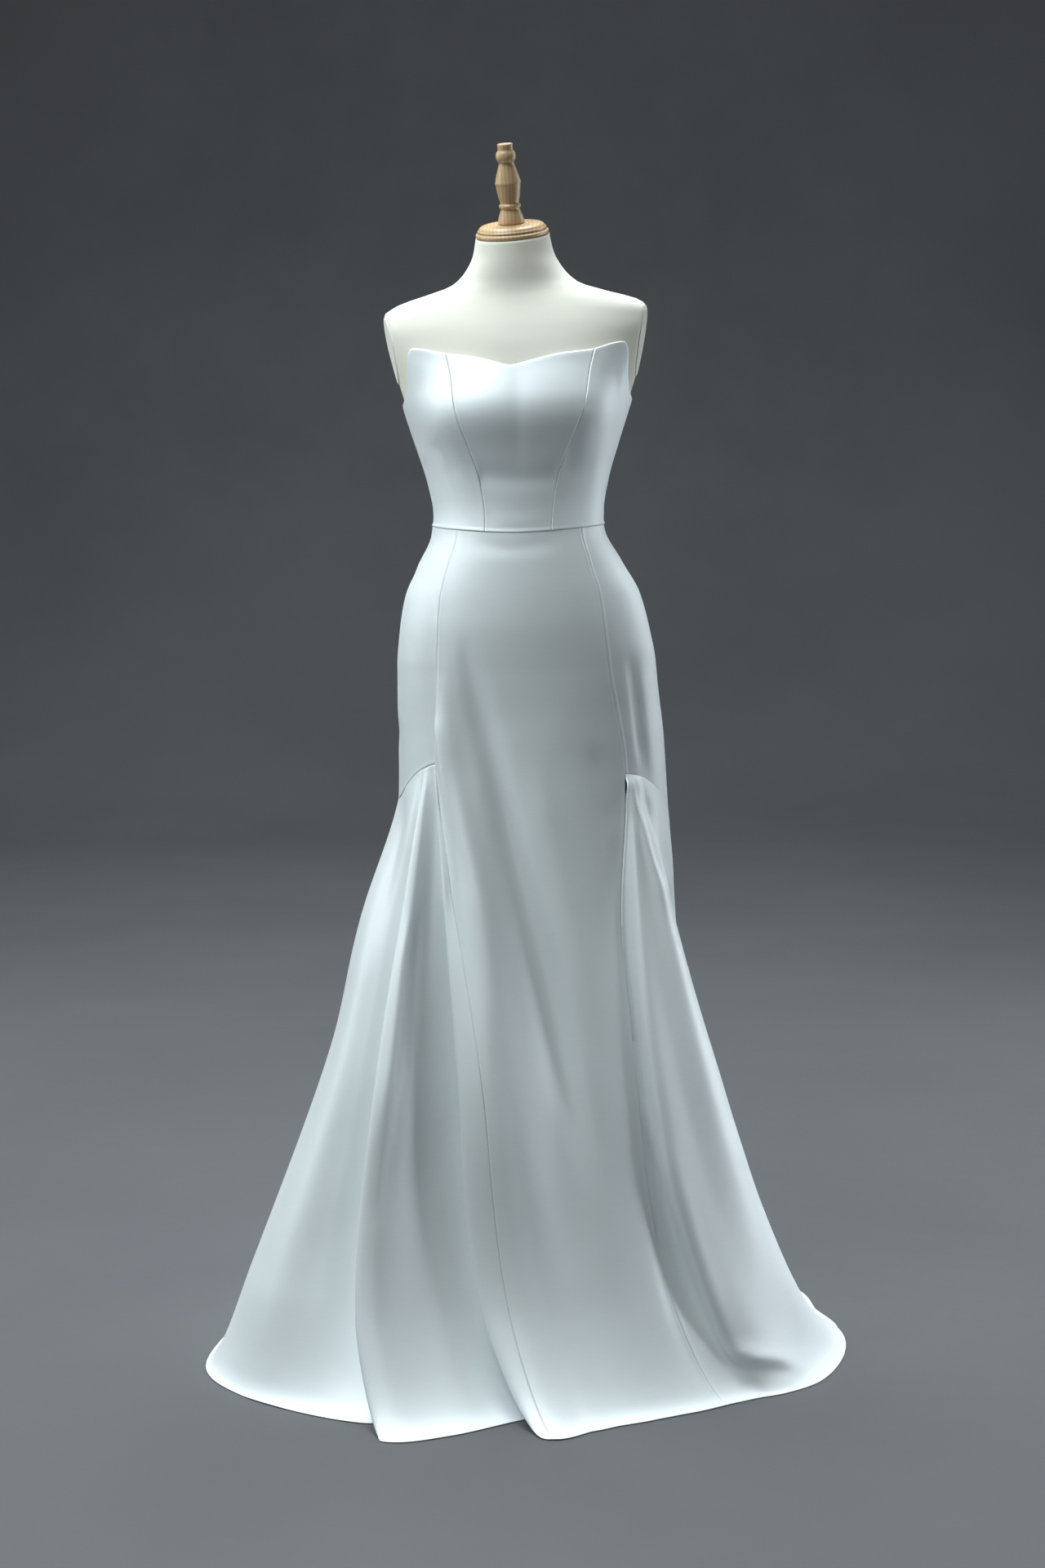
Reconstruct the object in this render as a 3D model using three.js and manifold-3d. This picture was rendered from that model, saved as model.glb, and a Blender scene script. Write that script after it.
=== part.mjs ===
// A strapless satin wedding dress, fitted to mid-thigh and flared to the floor, on a padded dress form.
// Millimetres. +Z is up, -Y is the front, and +X is the wearer's left. The origin is on the floor, under the
// middle of the stand. The dress is a set of thin walls, one for each cut panel. Above the godet seams the wall
// follows the form; below them it is drawn through fold lines that fan out to the hem on the floor.

import * as THREE from "three";
import { mergeVertices } from "three/addons/utils/BufferGeometryUtils.js";
import Module from "manifold-3d";

const wasm = await Module();
wasm.setup();

// Driving sizes
const waistHeight = 1140;
const bustHeight = 1298;
const hipHeight = 950; // below this the skirt hangs free of the form
const formBottom = 845;
const lean = THREE.MathUtils.degToRad(1.8); // the form stands a little off plumb, top towards -X
const clothThickness = 2;
const clothGap = 2.5; // air between the form and the cloth
const seamGap = 0.4; // air between two panels at a seam
const kneeHeight = 420;
const ankleHeight = 130;

// The form's sections: half width, depth to the front and to the back, and how far the middle is off the axis.
const bodySections = [
  { z: 845, half: 171, front: 92, back: 116, middle: 7 },
  { z: 900, half: 177, front: 98, back: 126, middle: 5.5 },
  { z: 950, half: 177, front: 101, back: 128, middle: 4.2 },
  { z: 1000, half: 171, front: 101, back: 123, middle: 2.6 },
  { z: 1050, half: 160, front: 98, back: 111, middle: 1.4 },
  { z: 1095, half: 138, front: 93, back: 98, middle: -1 },
  { z: 1140, half: 116, front: 87, back: 88, middle: -1.5 },
  { z: 1165, half: 114, front: 86, back: 87, middle: 0 },
  { z: 1208, half: 121, front: 89, back: 95, middle: 0.8 },
  { z: 1253, half: 134.5, front: 94, back: 102, middle: 1.4 },
  { z: 1298, half: 149, front: 100, back: 108, middle: 2.4 },
  { z: 1340, half: 162, front: 97, back: 110, middle: 3.6 },
  { z: 1387, half: 182, front: 87, back: 107, middle: 4 },
  { z: 1415, half: 191, front: 77, back: 102, middle: 4 },
  { z: 1436, half: 187, front: 67, back: 95, middle: 5.5 },
  { z: 1452, half: 166, front: 59, back: 86, middle: 7 },
  { z: 1464, half: 127, front: 54, back: 77, middle: 5 },
  { z: 1477, half: 88, front: 52, back: 67, middle: 5 },
  { z: 1497, half: 67, front: 52, back: 57, middle: 4.5 },
  { z: 1519, half: 55.5, front: 51, back: 51, middle: 3.8 },
  { z: 1543, half: 50.5, front: 50, back: 47, middle: 3.4 },
];

// The skirt's sections where it hangs between the hips and the godet seams.
const hangingSections = [
  { z: 720, half: 193, front: 138, back: 150, middle: 7 },
  { z: 790, half: 189, front: 124, back: 141, middle: 8 },
  { z: 850, half: 187, front: 114, back: 135, middle: 7.6 },
  { z: 900, half: 184.5, front: 108, back: 133, middle: 5.8 },
  { z: 950, half: 181.5, front: 105.5, back: 132.5, middle: 4.2 },
];

// Where the panels' seams run, as angles round the body from the centre front, at four heights.
const skirtSeams = [
  { z: 720, frontRight: -44.2, frontLeft: 42.5, back: 138 },
  { z: 825, frontRight: -44.2, frontLeft: 42.5, back: 138 },
  { z: 880, frontRight: -43, frontLeft: 40.8, back: 139 },
  { z: 965, frontRight: -42, frontLeft: 38.6, back: 140 },
  { z: 1065, frontRight: -43.2, frontLeft: 40.4, back: 143 },
  { z: 1145, frontRight: -44, frontLeft: 46, back: 146 },
];
const bodiceSeams = [
  { z: 1140, princessRight: -22, princessLeft: 22, side: 84, back: 140 },
  { z: 1220, princessRight: -24.5, princessLeft: 25, side: 85, back: 140 },
  { z: 1300, princessRight: -28, princessLeft: 30, side: 86, back: 143 },
  { z: 1390, princessRight: -31.5, princessLeft: 35, side: 87, back: 145 },
];

// The height of the waist seam round the dress. It dips a little at the centre front.
const waistSeam = [
  { angle: -180, z: 1147 },
  { angle: -90, z: 1150 },
  { angle: -45, z: 1144 },
  { angle: 0, z: 1137.5 },
  { angle: 45, z: 1141.5 },
  { angle: 90, z: 1146 },
  { angle: 180, z: 1147 },
];

// The bodice's upper edge: its height at each angle from the centre front.
const topEdge = [
  { angle: -180, z: 1292 },
  { angle: -145, z: 1296 },
  { angle: -110, z: 1306 },
  { angle: -86, z: 1316 },
  { angle: -73, z: 1324 },
  { angle: -63, z: 1340 },
  { angle: -56, z: 1362 },
  { angle: -51, z: 1382 },
  { angle: -47, z: 1389 },
  { angle: -41, z: 1387 },
  { angle: -31, z: 1380 },
  { angle: -20, z: 1375 },
  { angle: -10, z: 1367 },
  { angle: -3, z: 1361 },
  { angle: 5, z: 1366 },
  { angle: 18, z: 1375 },
  { angle: 33, z: 1380 },
  { angle: 43, z: 1388 },
  { angle: 49, z: 1390 },
  { angle: 53, z: 1382 },
  { angle: 58, z: 1362 },
  { angle: 65, z: 1340 },
  { angle: 74, z: 1324 },
  { angle: 86, z: 1316 },
  { angle: 110, z: 1306 },
  { angle: 145, z: 1296 },
  { angle: 180, z: 1292 },
];

// The height of the godet seam round the skirt. It is level at the front seams and dips at the sides.
const godetSeam = [
  { angle: -180, z: 800 },
  { angle: -138, z: 796 },
  { angle: -112, z: 774 },
  { angle: -96, z: 767 },
  { angle: -80, z: 774 },
  { angle: -65, z: 799 },
  { angle: -55, z: 816 },
  { angle: -44.2, z: 825 },
  { angle: 0, z: 812 },
  { angle: 42.5, z: 804 },
  { angle: 51, z: 799 },
  { angle: 65, z: 780 },
  { angle: 82, z: 748 },
  { angle: 98, z: 742 },
  { angle: 114, z: 754 },
  { angle: 138, z: 796 },
  { angle: 180, z: 800 },
];

// The fold lines of the lower skirt, in order round the body from the centre back. Each starts on the godet
// seam at its angle and passes through a point at the knee, one at the ankle and one at the hem on the floor.
// Where bowX is given, the line swings that far sideways between the seam and the knee.
const foldLines = [
  { name: "backCentre", angle: -180, kneeX: 0, kneeY: 222, ankleX: 0, ankleY: 378, hemX: 0, hemY: 516 },
  { name: "backFluteRight", angle: -166, kneeX: -58, kneeY: 238, ankleX: -88, ankleY: 392, hemX: -118, hemY: 516 },
  { name: "backHollowRight", angle: -152, kneeX: -98, kneeY: 197, ankleX: -138, ankleY: 322, hemX: -190, hemY: 432 },
  { name: "backSeamRight", angle: -138, kneeX: -146, kneeY: 200, ankleX: -206, ankleY: 320, hemX: -272, hemY: 420 },
  { name: "sideBackHollowRight", angle: -123, kneeX: -172, kneeY: 138, ankleX: -240, ankleY: 214, hemX: -320, hemY: 292 },
  { name: "sideBackFluteRight", angle: -110, kneeX: -228, kneeY: 112, ankleX: -322, ankleY: 168, hemX: -404, hemY: 218 },
  { name: "sideHollowRight", angle: -97, kneeX: -236, kneeY: 34, ankleX: -322, ankleY: 36, hemX: -400, hemY: 44, bowX: -6 },
  { name: "sideRidgeRight", angle: -84, kneeX: -265, kneeY: -72, ankleX: -372, ankleY: -140, hemX: -429, hemY: -190, bowX: -12 },
  { name: "sideFaceRight", angle: -72, kneeX: -246, kneeY: -158, ankleX: -334, ankleY: -240, hemX: -370, hemY: -282, bowX: -7 },
  { name: "sideFaceInnerRight", angle: -63.5, kneeX: -214, kneeY: -174, ankleX: -266, ankleY: -268, hemX: -272, hemY: -346 },
  { name: "outerHollow", angle: -56.8, kneeX: -176, kneeY: -178, ankleX: -206, ankleY: -276, hemX: -196, hemY: -374 },
  { name: "outerTuck", angle: -53.8, kneeX: -162, kneeY: -188, ankleX: -180, ankleY: -286, hemX: -152, hemY: -370 },
  { name: "outerFold", angle: -52, kneeX: -190, kneeY: -240, ankleX: -213, ankleY: -330, hemX: -176, hemY: -426 },
  { name: "outerFoldFront", angle: -50.5, kneeX: -168, kneeY: -244, ankleX: -188, ankleY: -338, hemX: -146, hemY: -432 },
  { name: "frontHollow", angle: -48.8, kneeX: -116, kneeY: -202, ankleX: -120, ankleY: -300, hemX: -80, hemY: -410 },
  { name: "innerTuck", angle: -47.2, kneeX: -60, kneeY: -188, ankleX: -24, ankleY: -272, hemX: 34, hemY: -356 },
  { name: "innerFold", angle: -45.7, kneeX: -82, kneeY: -226, ankleX: -50, ankleY: -304, hemX: 26, hemY: -418 },
  { name: "frontSeamRight", angle: -44.2, kneeX: -50, kneeY: -242, ankleX: -14, ankleY: -314, hemX: 44, hemY: -424 },
  { name: "panelRight", angle: -31, kneeX: -14, kneeY: -238, ankleX: 36, ankleY: -304, hemX: 92, hemY: -400 },
  { name: "drapeHollow", angle: -14, kneeX: 42, kneeY: -212, ankleX: 84, ankleY: -291, hemX: 130, hemY: -382 },
  { name: "drapeRidge", angle: 3, kneeX: 94, kneeY: -216, ankleX: 128, ankleY: -284, hemX: 166, hemY: -368 },
  { name: "panelMiddle", angle: 17, kneeX: 122, kneeY: -212, ankleX: 158, ankleY: -275, hemX: 200, hemY: -352 },
  { name: "panelLeft", angle: 30, kneeX: 143, kneeY: -206, ankleX: 184, ankleY: -264, hemX: 240, hemY: -334, bowX: -6 },
  { name: "frontSeamLeft", angle: 42.5, kneeX: 157, kneeY: -200, ankleX: 201, ankleY: -252, hemX: 274, hemY: -315, bowX: -11 },
  { name: "floorDent", angle: 44, kneeX: 167, kneeY: -194, ankleX: 232, ankleY: -238, hemX: 318, hemY: -292, bowX: -8 },
  { name: "floorBuckle", angle: 45.4, kneeX: 182, kneeY: -218, ankleX: 256, ankleY: -258, hemX: 352, hemY: -278 },
  { name: "godetFaceLeft", angle: 46.8, kneeX: 214, kneeY: -208, ankleX: 306, ankleY: -240, hemX: 408, hemY: -234 },
  { name: "godetFold", angle: 48.2, kneeX: 258, kneeY: -192, ankleX: 364, ankleY: -186, hemX: 456, hemY: -126 },
  { name: "godetFoldBack", angle: 52, kneeX: 266, kneeY: -116, ankleX: 366, ankleY: -92, hemX: 458, hemY: -42 },
  { name: "sideHollowLeft", angle: 66, kneeX: 238, kneeY: -42, ankleX: 340, ankleY: 14, hemX: 436, hemY: 36 },
  { name: "sideRidgeLeft", angle: 84, kneeX: 246, kneeY: 22, ankleX: 334, ankleY: 76, hemX: 424, hemY: 108 },
  { name: "sideBackFoldLeft", angle: 98, kneeX: 222, kneeY: 70, ankleX: 296, ankleY: 124, hemX: 376, hemY: 170 },
  { name: "sideBackFluteLeft", angle: 112, kneeX: 214, kneeY: 126, ankleX: 300, ankleY: 190, hemX: 382, hemY: 252 },
  { name: "sideBackHollowLeft", angle: 125, kneeX: 166, kneeY: 148, ankleX: 232, ankleY: 226, hemX: 310, hemY: 312 },
  { name: "backSeamLeft", angle: 138, kneeX: 144, kneeY: 202, ankleX: 202, ankleY: 322, hemX: 264, hemY: 424 },
  { name: "backHollowLeft", angle: 152, kneeX: 98, kneeY: 198, ankleX: 138, ankleY: 324, hemX: 188, hemY: 434 },
  { name: "backFluteLeft", angle: 166, kneeX: 58, kneeY: 238, ankleX: 88, ankleY: 392, hemX: 118, hemY: 516 },
];

// Grid sizes
const stepsBetweenFolds = 2;
const hipRows = 10;
const flareRows = 13;
const bodiceRows = 8;
const torsoColumns = 36;
const torsoLowRows = 13;
const torsoTopRows = 13;
const torsoSplit = 1275;

const radians = THREE.MathUtils.degToRad;
const lerp = THREE.MathUtils.lerp;

// A smooth curve through a table's rows, from column from to column to, with no overshoot.
function curveThrough(rows, from, to) {
  const x = rows.map((row) => row[from]);
  const y = rows.map((row) => row[to]);
  const chord = x.slice(1).map((value, i) => (y[i + 1] - y[i]) / (value - x[i]));
  const slope = x.map((_, i) => {
    if (i === 0) return chord[0];
    if (i === x.length - 1) return chord[i - 1];
    if (chord[i - 1] * chord[i] <= 0) return 0;
    return (2 * chord[i - 1] * chord[i]) / (chord[i - 1] + chord[i]);
  });
  return (at) => {
    if (at <= x[0]) return y[0] + slope[0] * (at - x[0]);
    const last = x.length - 1;
    if (at >= x[last]) return y[last] + slope[last] * (at - x[last]);
    let i = 0;
    while (at > x[i + 1]) i += 1;
    return hermite(y[i], y[i + 1], slope[i], slope[i + 1], x[i + 1] - x[i], (at - x[i]) / (x[i + 1] - x[i]));
  };
}

// A cubic from a to b with the slopes given, over a span, at a share t of it.
function hermite(a, b, slopeA, slopeB, span, t) {
  const t2 = t * t;
  const t3 = t2 * t;
  const start = (2 * t3 - 3 * t2 + 1) * a + (t3 - 2 * t2 + t) * span * slopeA;
  return start + (3 * t2 - 2 * t3) * b + (t3 - t2) * span * slopeB;
}

const body = {
  middle: curveThrough(bodySections, "z", "middle"),
  half: curveThrough(bodySections, "z", "half"),
  front: curveThrough(bodySections, "z", "front"),
  back: curveThrough(bodySections, "z", "back"),
};
const hanging = {
  middle: curveThrough(hangingSections, "z", "middle"),
  half: curveThrough(hangingSections, "z", "half"),
  front: curveThrough(hangingSections, "z", "front"),
  back: curveThrough(hangingSections, "z", "back"),
};
const seam = {
  frontRight: curveThrough(skirtSeams, "z", "frontRight"),
  frontLeft: curveThrough(skirtSeams, "z", "frontLeft"),
  back: curveThrough(skirtSeams, "z", "back"),
  princessRight: curveThrough(bodiceSeams, "z", "princessRight"),
  princessLeft: curveThrough(bodiceSeams, "z", "princessLeft"),
  side: curveThrough(bodiceSeams, "z", "side"),
  bodiceBack: curveThrough(bodiceSeams, "z", "back"),
};
const waistSeamHeight = curveThrough(waistSeam, "angle", "z");
const topEdgeHeight = curveThrough(topEdge, "angle", "z");
const godetSeamHeight = curveThrough(godetSeam, "angle", "z");

// The bust on each side, in the form and in the cloth, which spans the hollow between.
const bust = { angle: 31, width: 21, above: 56, below: 62, reach: 23, span: 0.24 };

function bustReach(angle, z, spanned) {
  const rise = (z - bustHeight) / (z > bustHeight ? bust.above : bust.below);
  const off = Math.abs(angle) - bust.angle;
  const round = Math.exp(-((off / bust.width) ** 2));
  const bridge = 1 - bust.span * (off / bust.angle) ** 2;
  return bust.reach * Math.exp(-rise * rise) * (spanned && off < 0 ? bridge : round);
}

// A point of an oval section, moved out by ease. The angle is in degrees from the centre front.
function ovalPoint(section, angle, z, ease, reach) {
  const a = radians(angle);
  const half = section.half(z) + ease;
  const depth = (Math.cos(a) > 0 ? section.front(z) : section.back(z)) + ease;
  return new THREE.Vector3(section.middle(z) + (half + reach) * Math.sin(a), -(depth + reach) * Math.cos(a), z);
}

// The form leans: everything that follows it turns about the middle of the waist.
function leaned(p) {
  const up = p.z - waistHeight;
  const x = p.x * Math.cos(lean) - up * Math.sin(lean);
  return new THREE.Vector3(x, p.y, waistHeight + p.x * Math.sin(lean) + up * Math.cos(lean));
}

// The outside of the fitted cloth at an angle and a height.
const tip = { right: -46.5, left: 49, width: 9, below: 46, reach: 5 }; // the raised corners stand away from the form

function fittedPoint(angle, z) {
  if (z < hipHeight) return leaned(ovalPoint(hanging, angle, z, 0, 0));
  const depth = Math.max(0, 1 - (topEdgeHeight(angle) - z) / tip.below);
  const across = (angle - (angle < 0 ? tip.right : tip.left)) / tip.width;
  const lift = z > bustHeight ? tip.reach * depth * Math.exp(-across * across) : 0;
  return leaned(ovalPoint(body, angle, z, clothGap + clothThickness + lift, bustReach(angle, z, true)));
}

// The lower skirt. Each fold line is a curve of four points with a heading at each.
const kneeShare = 0.5;
const ankleShare = 0.84;
const floorRun = 0.9; // how far the hem lies along the floor, as a share of the last chord

function foldCurve(line) {
  const topHeight = godetSeamHeight(line.angle);
  const top = fittedPoint(line.angle, topHeight);
  const knee = new THREE.Vector3(line.kneeX, line.kneeY, kneeHeight);
  const ankle = new THREE.Vector3(line.ankleX, line.ankleY, ankleHeight);
  const hem = new THREE.Vector3(line.hemX, line.hemY, clothThickness);
  const above = fittedPoint(line.angle, topHeight + 1);
  const hang = top.clone().sub(above).multiplyScalar((topHeight - kneeHeight) / kneeShare);
  const flare = knee.clone().sub(top).divideScalar(kneeShare);
  const flat = !(line.angle > -138 && line.angle < -44.2) && !(line.angle > 42.5 && line.angle < 138);
  const heading = [
    flat ? hang.lerp(flare, 0.35) : hang.lerp(flare, 0.85),
    ankle.clone().sub(top).divideScalar(ankleShare),
    hem.clone().sub(knee).divideScalar(1 - kneeShare),
    new THREE.Vector3(hem.x - ankle.x, hem.y - ankle.y, 0).multiplyScalar(floorRun / (1 - ankleShare)),
  ];
  heading[1].z = (ankleHeight - topHeight) / ankleShare;
  heading[2].z = (clothThickness - kneeHeight) / (1 - kneeShare);
  const stations = [top, knee, ankle, hem];
  const shares = [0, kneeShare, ankleShare, 1];
  return (share) => {
    const i = share < kneeShare ? 0 : share < ankleShare ? 1 : 2;
    const span = shares[i + 1] - shares[i];
    const t = (share - shares[i]) / span;
    const along = (axis) =>
      hermite(stations[i][axis], stations[i + 1][axis], heading[i][axis], heading[i + 1][axis], span, t);
    const bow = share < kneeShare ? (line.bowX ?? 0) * Math.sin((Math.PI * share) / kneeShare) ** 2 : 0;
    return new THREE.Vector3(along("x") + bow, along("y"), Math.max(clothThickness, along("z")));
  };
}

const folds = foldLines.map((line) => {
  const top = fittedPoint(line.angle, godetSeamHeight(line.angle));
  return { ...line, top, curve: foldCurve(line) };
});
const foldCount = folds.length;
const foldAt = (name) => folds.findIndex((fold) => fold.name === name);
const wrapped = (index) => folds[((index % foldCount) + foldCount) % foldCount];

// The angle at a place round the skirt, counted in fold lines.
function angleAt(place) {
  const i = Math.floor(place);
  const turn = 360 * Math.floor(i / foldCount);
  const next = 360 * Math.floor((i + 1) / foldCount);
  return lerp(wrapped(i).angle + turn, wrapped(i + 1).angle + next, place - i);
}

// A smooth closed line through the fold lines at one share of the way down, as an offset from the godet seam.
function flaredPoint(place, share) {
  const i = Math.floor(place);
  const t = place - i;
  const near = [-1, 0, 1, 2].map((k) => wrapped(i + k));
  const at = near.map((fold) => fold.curve(share));
  const knots = [0];
  for (let k = 0; k < 3; k += 1) knots.push(knots[k] + Math.sqrt(at[k].distanceTo(at[k + 1])));
  const offset = at.map((point, k) => point.clone().sub(near[k].top));
  const tangent = (k) => {
    const before = offset[k].clone().sub(offset[k - 1]).divideScalar(knots[k] - knots[k - 1]);
    const after = offset[k + 1].clone().sub(offset[k]).divideScalar(knots[k + 1] - knots[k]);
    const share1 = (knots[k] - knots[k - 1]) / (knots[k + 1] - knots[k - 1]);
    return before.lerp(after, share1);
  };
  const span = knots[2] - knots[1];
  const start = tangent(1);
  const end = tangent(2);
  const angle = ((((angleAt(place) + 180) % 360) + 360) % 360) - 180;
  const top = fittedPoint(angle, godetSeamHeight(angle));
  const mix = (axis) => top[axis] + hermite(offset[1][axis], offset[2][axis], start[axis], end[axis], span, t);
  return new THREE.Vector3(mix("x"), mix("y"), Math.max(clothThickness, mix("z")));
}

// The fitted skirt above the godet seam: a panel's columns keep their share of the way between its seams.
function seamAngles(z) {
  return [-180, -seam.back(z), seam.frontRight(z), seam.frontLeft(z), seam.back(z), 180];
}

function hipPoint(place, share) {
  const low = ((((angleAt(place) + 180) % 360) + 360) % 360) - 180;
  const bottom = godetSeamHeight(low);
  const there = seamAngles(bottom);
  const k = Math.max(0, Math.min(4, there.findIndex((angle, n) => low < angle || n === 5) - 1));
  const part = (low - there[k]) / (there[k + 1] - there[k]);
  const atWaist = seamAngles(waistHeight);
  const z = lerp(waistSeamHeight(lerp(atWaist[k], atWaist[k + 1], part)), bottom, share);
  const here = seamAngles(z);
  return fittedPoint(lerp(here[k], here[k + 1], part), z);
}

// The whole skirt: rows 0 to 1 run from the waist to the godet seam, and rows 1 to 2 on to the hem.
function skirtPoint(place, row) {
  return row < 1 ? hipPoint(place, row) : flaredPoint(place, Math.min(1, row - 1));
}

// The bodice: row 0 is its upper edge and row 1 the waist.
function bodicePoint(angle, row) {
  return fittedPoint(angle, lerp(topEdgeHeight(angle), waistSeamHeight(angle), row));
}

// A closed wall under a surface. Columns and rows are lists of the surface's own two values. The edge rows and
// columns stop half a seam gap short, and the inside is one cloth thickness in along the surface's normal.
function wallGeometry(surface, columns, rows, columnStep, rowStep, freeTop, freeBottom) {
  const across = columns.length;
  const down = rows.length;
  const outer = [];
  const inner = [];
  for (let r = 0; r < down; r += 1) {
    for (let c = 0; c < across; c += 1) {
      const [column, row] = [columns[c], rows[r]];
      const point = surface(column, row);
      const right = surface(column + columnStep, row).sub(surface(column - columnStep, row)).normalize();
      const upperRow = Math.max(rows.floor, row - rowStep);
      const lowerRow = Math.min(rows.ceiling, row + rowStep);
      const under = surface(column, lowerRow).sub(surface(column, upperRow)).normalize();
      const normal = new THREE.Vector3().crossVectors(under, right).normalize();
      if (c === 0) point.addScaledVector(right, seamGap / 2);
      if (c === across - 1) point.addScaledVector(right, -seamGap / 2);
      if (r === 0 && !freeTop) point.addScaledVector(under, seamGap / 2);
      if (r === down - 1 && !freeBottom) point.addScaledVector(under, -seamGap / 2);
      const inside = point.clone().addScaledVector(normal, -clothThickness);
      if (freeBottom) inside.z = Math.max(0, inside.z);
      outer.push(point);
      inner.push(inside);
    }
  }
  const points = [...outer, ...inner];
  const faces = [];
  const out = (r, c) => r * across + c;
  const ins = (r, c) => outer.length + r * across + c;
  const quad = (a, b, c, d) => faces.push(a, b, c, a, c, d);
  for (let r = 0; r < down - 1; r += 1) {
    for (let c = 0; c < across - 1; c += 1) {
      quad(out(r, c), out(r + 1, c), out(r + 1, c + 1), out(r, c + 1));
      quad(ins(r, c), ins(r, c + 1), ins(r + 1, c + 1), ins(r + 1, c));
    }
    quad(out(r, 0), ins(r, 0), ins(r + 1, 0), out(r + 1, 0));
    quad(out(r, across - 1), out(r + 1, across - 1), ins(r + 1, across - 1), ins(r, across - 1));
  }
  for (let c = 0; c < across - 1; c += 1) {
    quad(out(0, c), out(0, c + 1), ins(0, c + 1), ins(0, c));
    quad(out(down - 1, c), ins(down - 1, c), ins(down - 1, c + 1), out(down - 1, c + 1));
  }
  const geometry = new THREE.BufferGeometry();
  geometry.setAttribute("position", new THREE.Float32BufferAttribute(points.flatMap((p) => p.toArray()), 3));
  geometry.setIndex(faces);
  geometry.computeVertexNormals();
  return geometry;
}

const materials = {
  satin: new THREE.MeshStandardMaterial({ color: 0xeef1f2, roughness: 0.38, metalness: 0 }),
  jersey: new THREE.MeshStandardMaterial({ color: 0xece8da, roughness: 0.9, metalness: 0 }),
  wood: new THREE.MeshStandardMaterial({ color: 0xc79a66, roughness: 0.5, metalness: 0 }),
  metal: new THREE.MeshStandardMaterial({ color: 0xdcdcd8, roughness: 0.35, metalness: 0.9 }),
};

const dress = new THREE.Group();

function addMesh(name, geometry, material) {
  const mesh = new THREE.Mesh(geometry, material);
  mesh.name = name;
  dress.add(mesh);
  return mesh;
}

function range(from, to, steps) {
  return Array.from({ length: steps + 1 }, (_, i) => lerp(from, to, i / steps));
}

// Skirt panels
const hipRowList = range(0, 1, hipRows);
const flareRowList = range(0, 1, flareRows).map((t) => 1 + 1 - (1 - t) ** 1.18);
const fullRowList = [...hipRowList, ...flareRowList.slice(1)];

function addSkirtPanel(name, fromPlace, toPlace, rowList, freeBottom) {
  const columns = range(fromPlace, toPlace, Math.round((toPlace - fromPlace) * stepsBetweenFolds));
  const rows = [...rowList];
  rows.floor = rowList[0] >= 1 ? 1 : 0;
  rows.ceiling = 2;
  addMesh(name, wallGeometry(skirtPoint, columns, rows, 0.02, 0.004, false, freeBottom), materials.satin);
}

const seamPlaces = {
  backRight: foldAt("backSeamRight"),
  frontRight: foldAt("frontSeamRight"),
  frontLeft: foldAt("frontSeamLeft"),
  backLeft: foldAt("backSeamLeft"),
};
addSkirtPanel("skirt_front", seamPlaces.frontRight, seamPlaces.frontLeft, fullRowList, true);
addSkirtPanel("hip_right", seamPlaces.backRight, seamPlaces.frontRight, hipRowList, false);
addSkirtPanel("hip_left", seamPlaces.frontLeft, seamPlaces.backLeft, hipRowList, false);
addSkirtPanel("godet_right", seamPlaces.backRight, seamPlaces.frontRight, flareRowList, true);
addSkirtPanel("godet_left", seamPlaces.frontLeft, seamPlaces.backLeft, flareRowList, true);
addSkirtPanel("skirt_back_right", 0, seamPlaces.backRight, fullRowList, true);
addSkirtPanel("skirt_back_left", seamPlaces.backLeft, foldCount, fullRowList, true);

// Bodice panels: each column keeps its share of the way between the panel's two seams.
function addBodicePanel(name, rightSeam, leftSeam, steps) {
  const surface = (share, row) => {
    const middle = lerp(rightSeam(waistHeight), leftSeam(waistHeight), share);
    const guess = bodicePoint(middle, row).z;
    const angle = lerp(rightSeam(guess), leftSeam(guess), share);
    return bodicePoint(angle, row);
  };
  const rows = range(0, 1, bodiceRows);
  rows.floor = 0;
  rows.ceiling = 1;
  addMesh(name, wallGeometry(surface, range(0, 1, steps), rows, 0.01, 0.01, true, false), materials.satin);
}

addBodicePanel("bodice_front", seam.princessRight, seam.princessLeft, 10);
addBodicePanel("bodice_side_front_left", seam.princessLeft, seam.side, 12);
addBodicePanel("bodice_side_front_right", (z) => -seam.side(z), seam.princessRight, 12);
addBodicePanel("bodice_side_back_left", seam.side, seam.bodiceBack, 7);
addBodicePanel("bodice_side_back_right", (z) => -seam.bodiceBack(z), (z) => -seam.side(z), 7);
addBodicePanel("bodice_back_left", seam.bodiceBack, () => 180, 5);
addBodicePanel("bodice_back_right", () => -180, (z) => -seam.bodiceBack(z), 5);

// The padded torso: a loft of the form's sections, with a tilted top for the neck cap and flat armholes.
const neckTop = bodySections.at(-1).z;
const neckTilt = radians(16); // towards the front
const neckRoll = radians(3.2); // towards the wearer's right, beyond the lean
const neckTiltFrom = 1470;
const armhole = { top: 1440, topX: 181, bottom: 1310, bottomX: 158, middle: 3.8, turn: radians(8), size: 400 };

function torsoPoint(angle, z) {
  const point = ovalPoint(body, angle, z, 0, bustReach(angle, z, false));
  const share = Math.max(0, (z - neckTiltFrom) / (neckTop - neckTiltFrom));
  point.z += (point.y * Math.tan(neckTilt) + (point.x - body.middle(z)) * Math.tan(neckRoll)) * share * share;
  return leaned(point);
}

const torsoMiddle = (z) => leaned(new THREE.Vector3(body.middle(z), 0, z));

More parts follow.
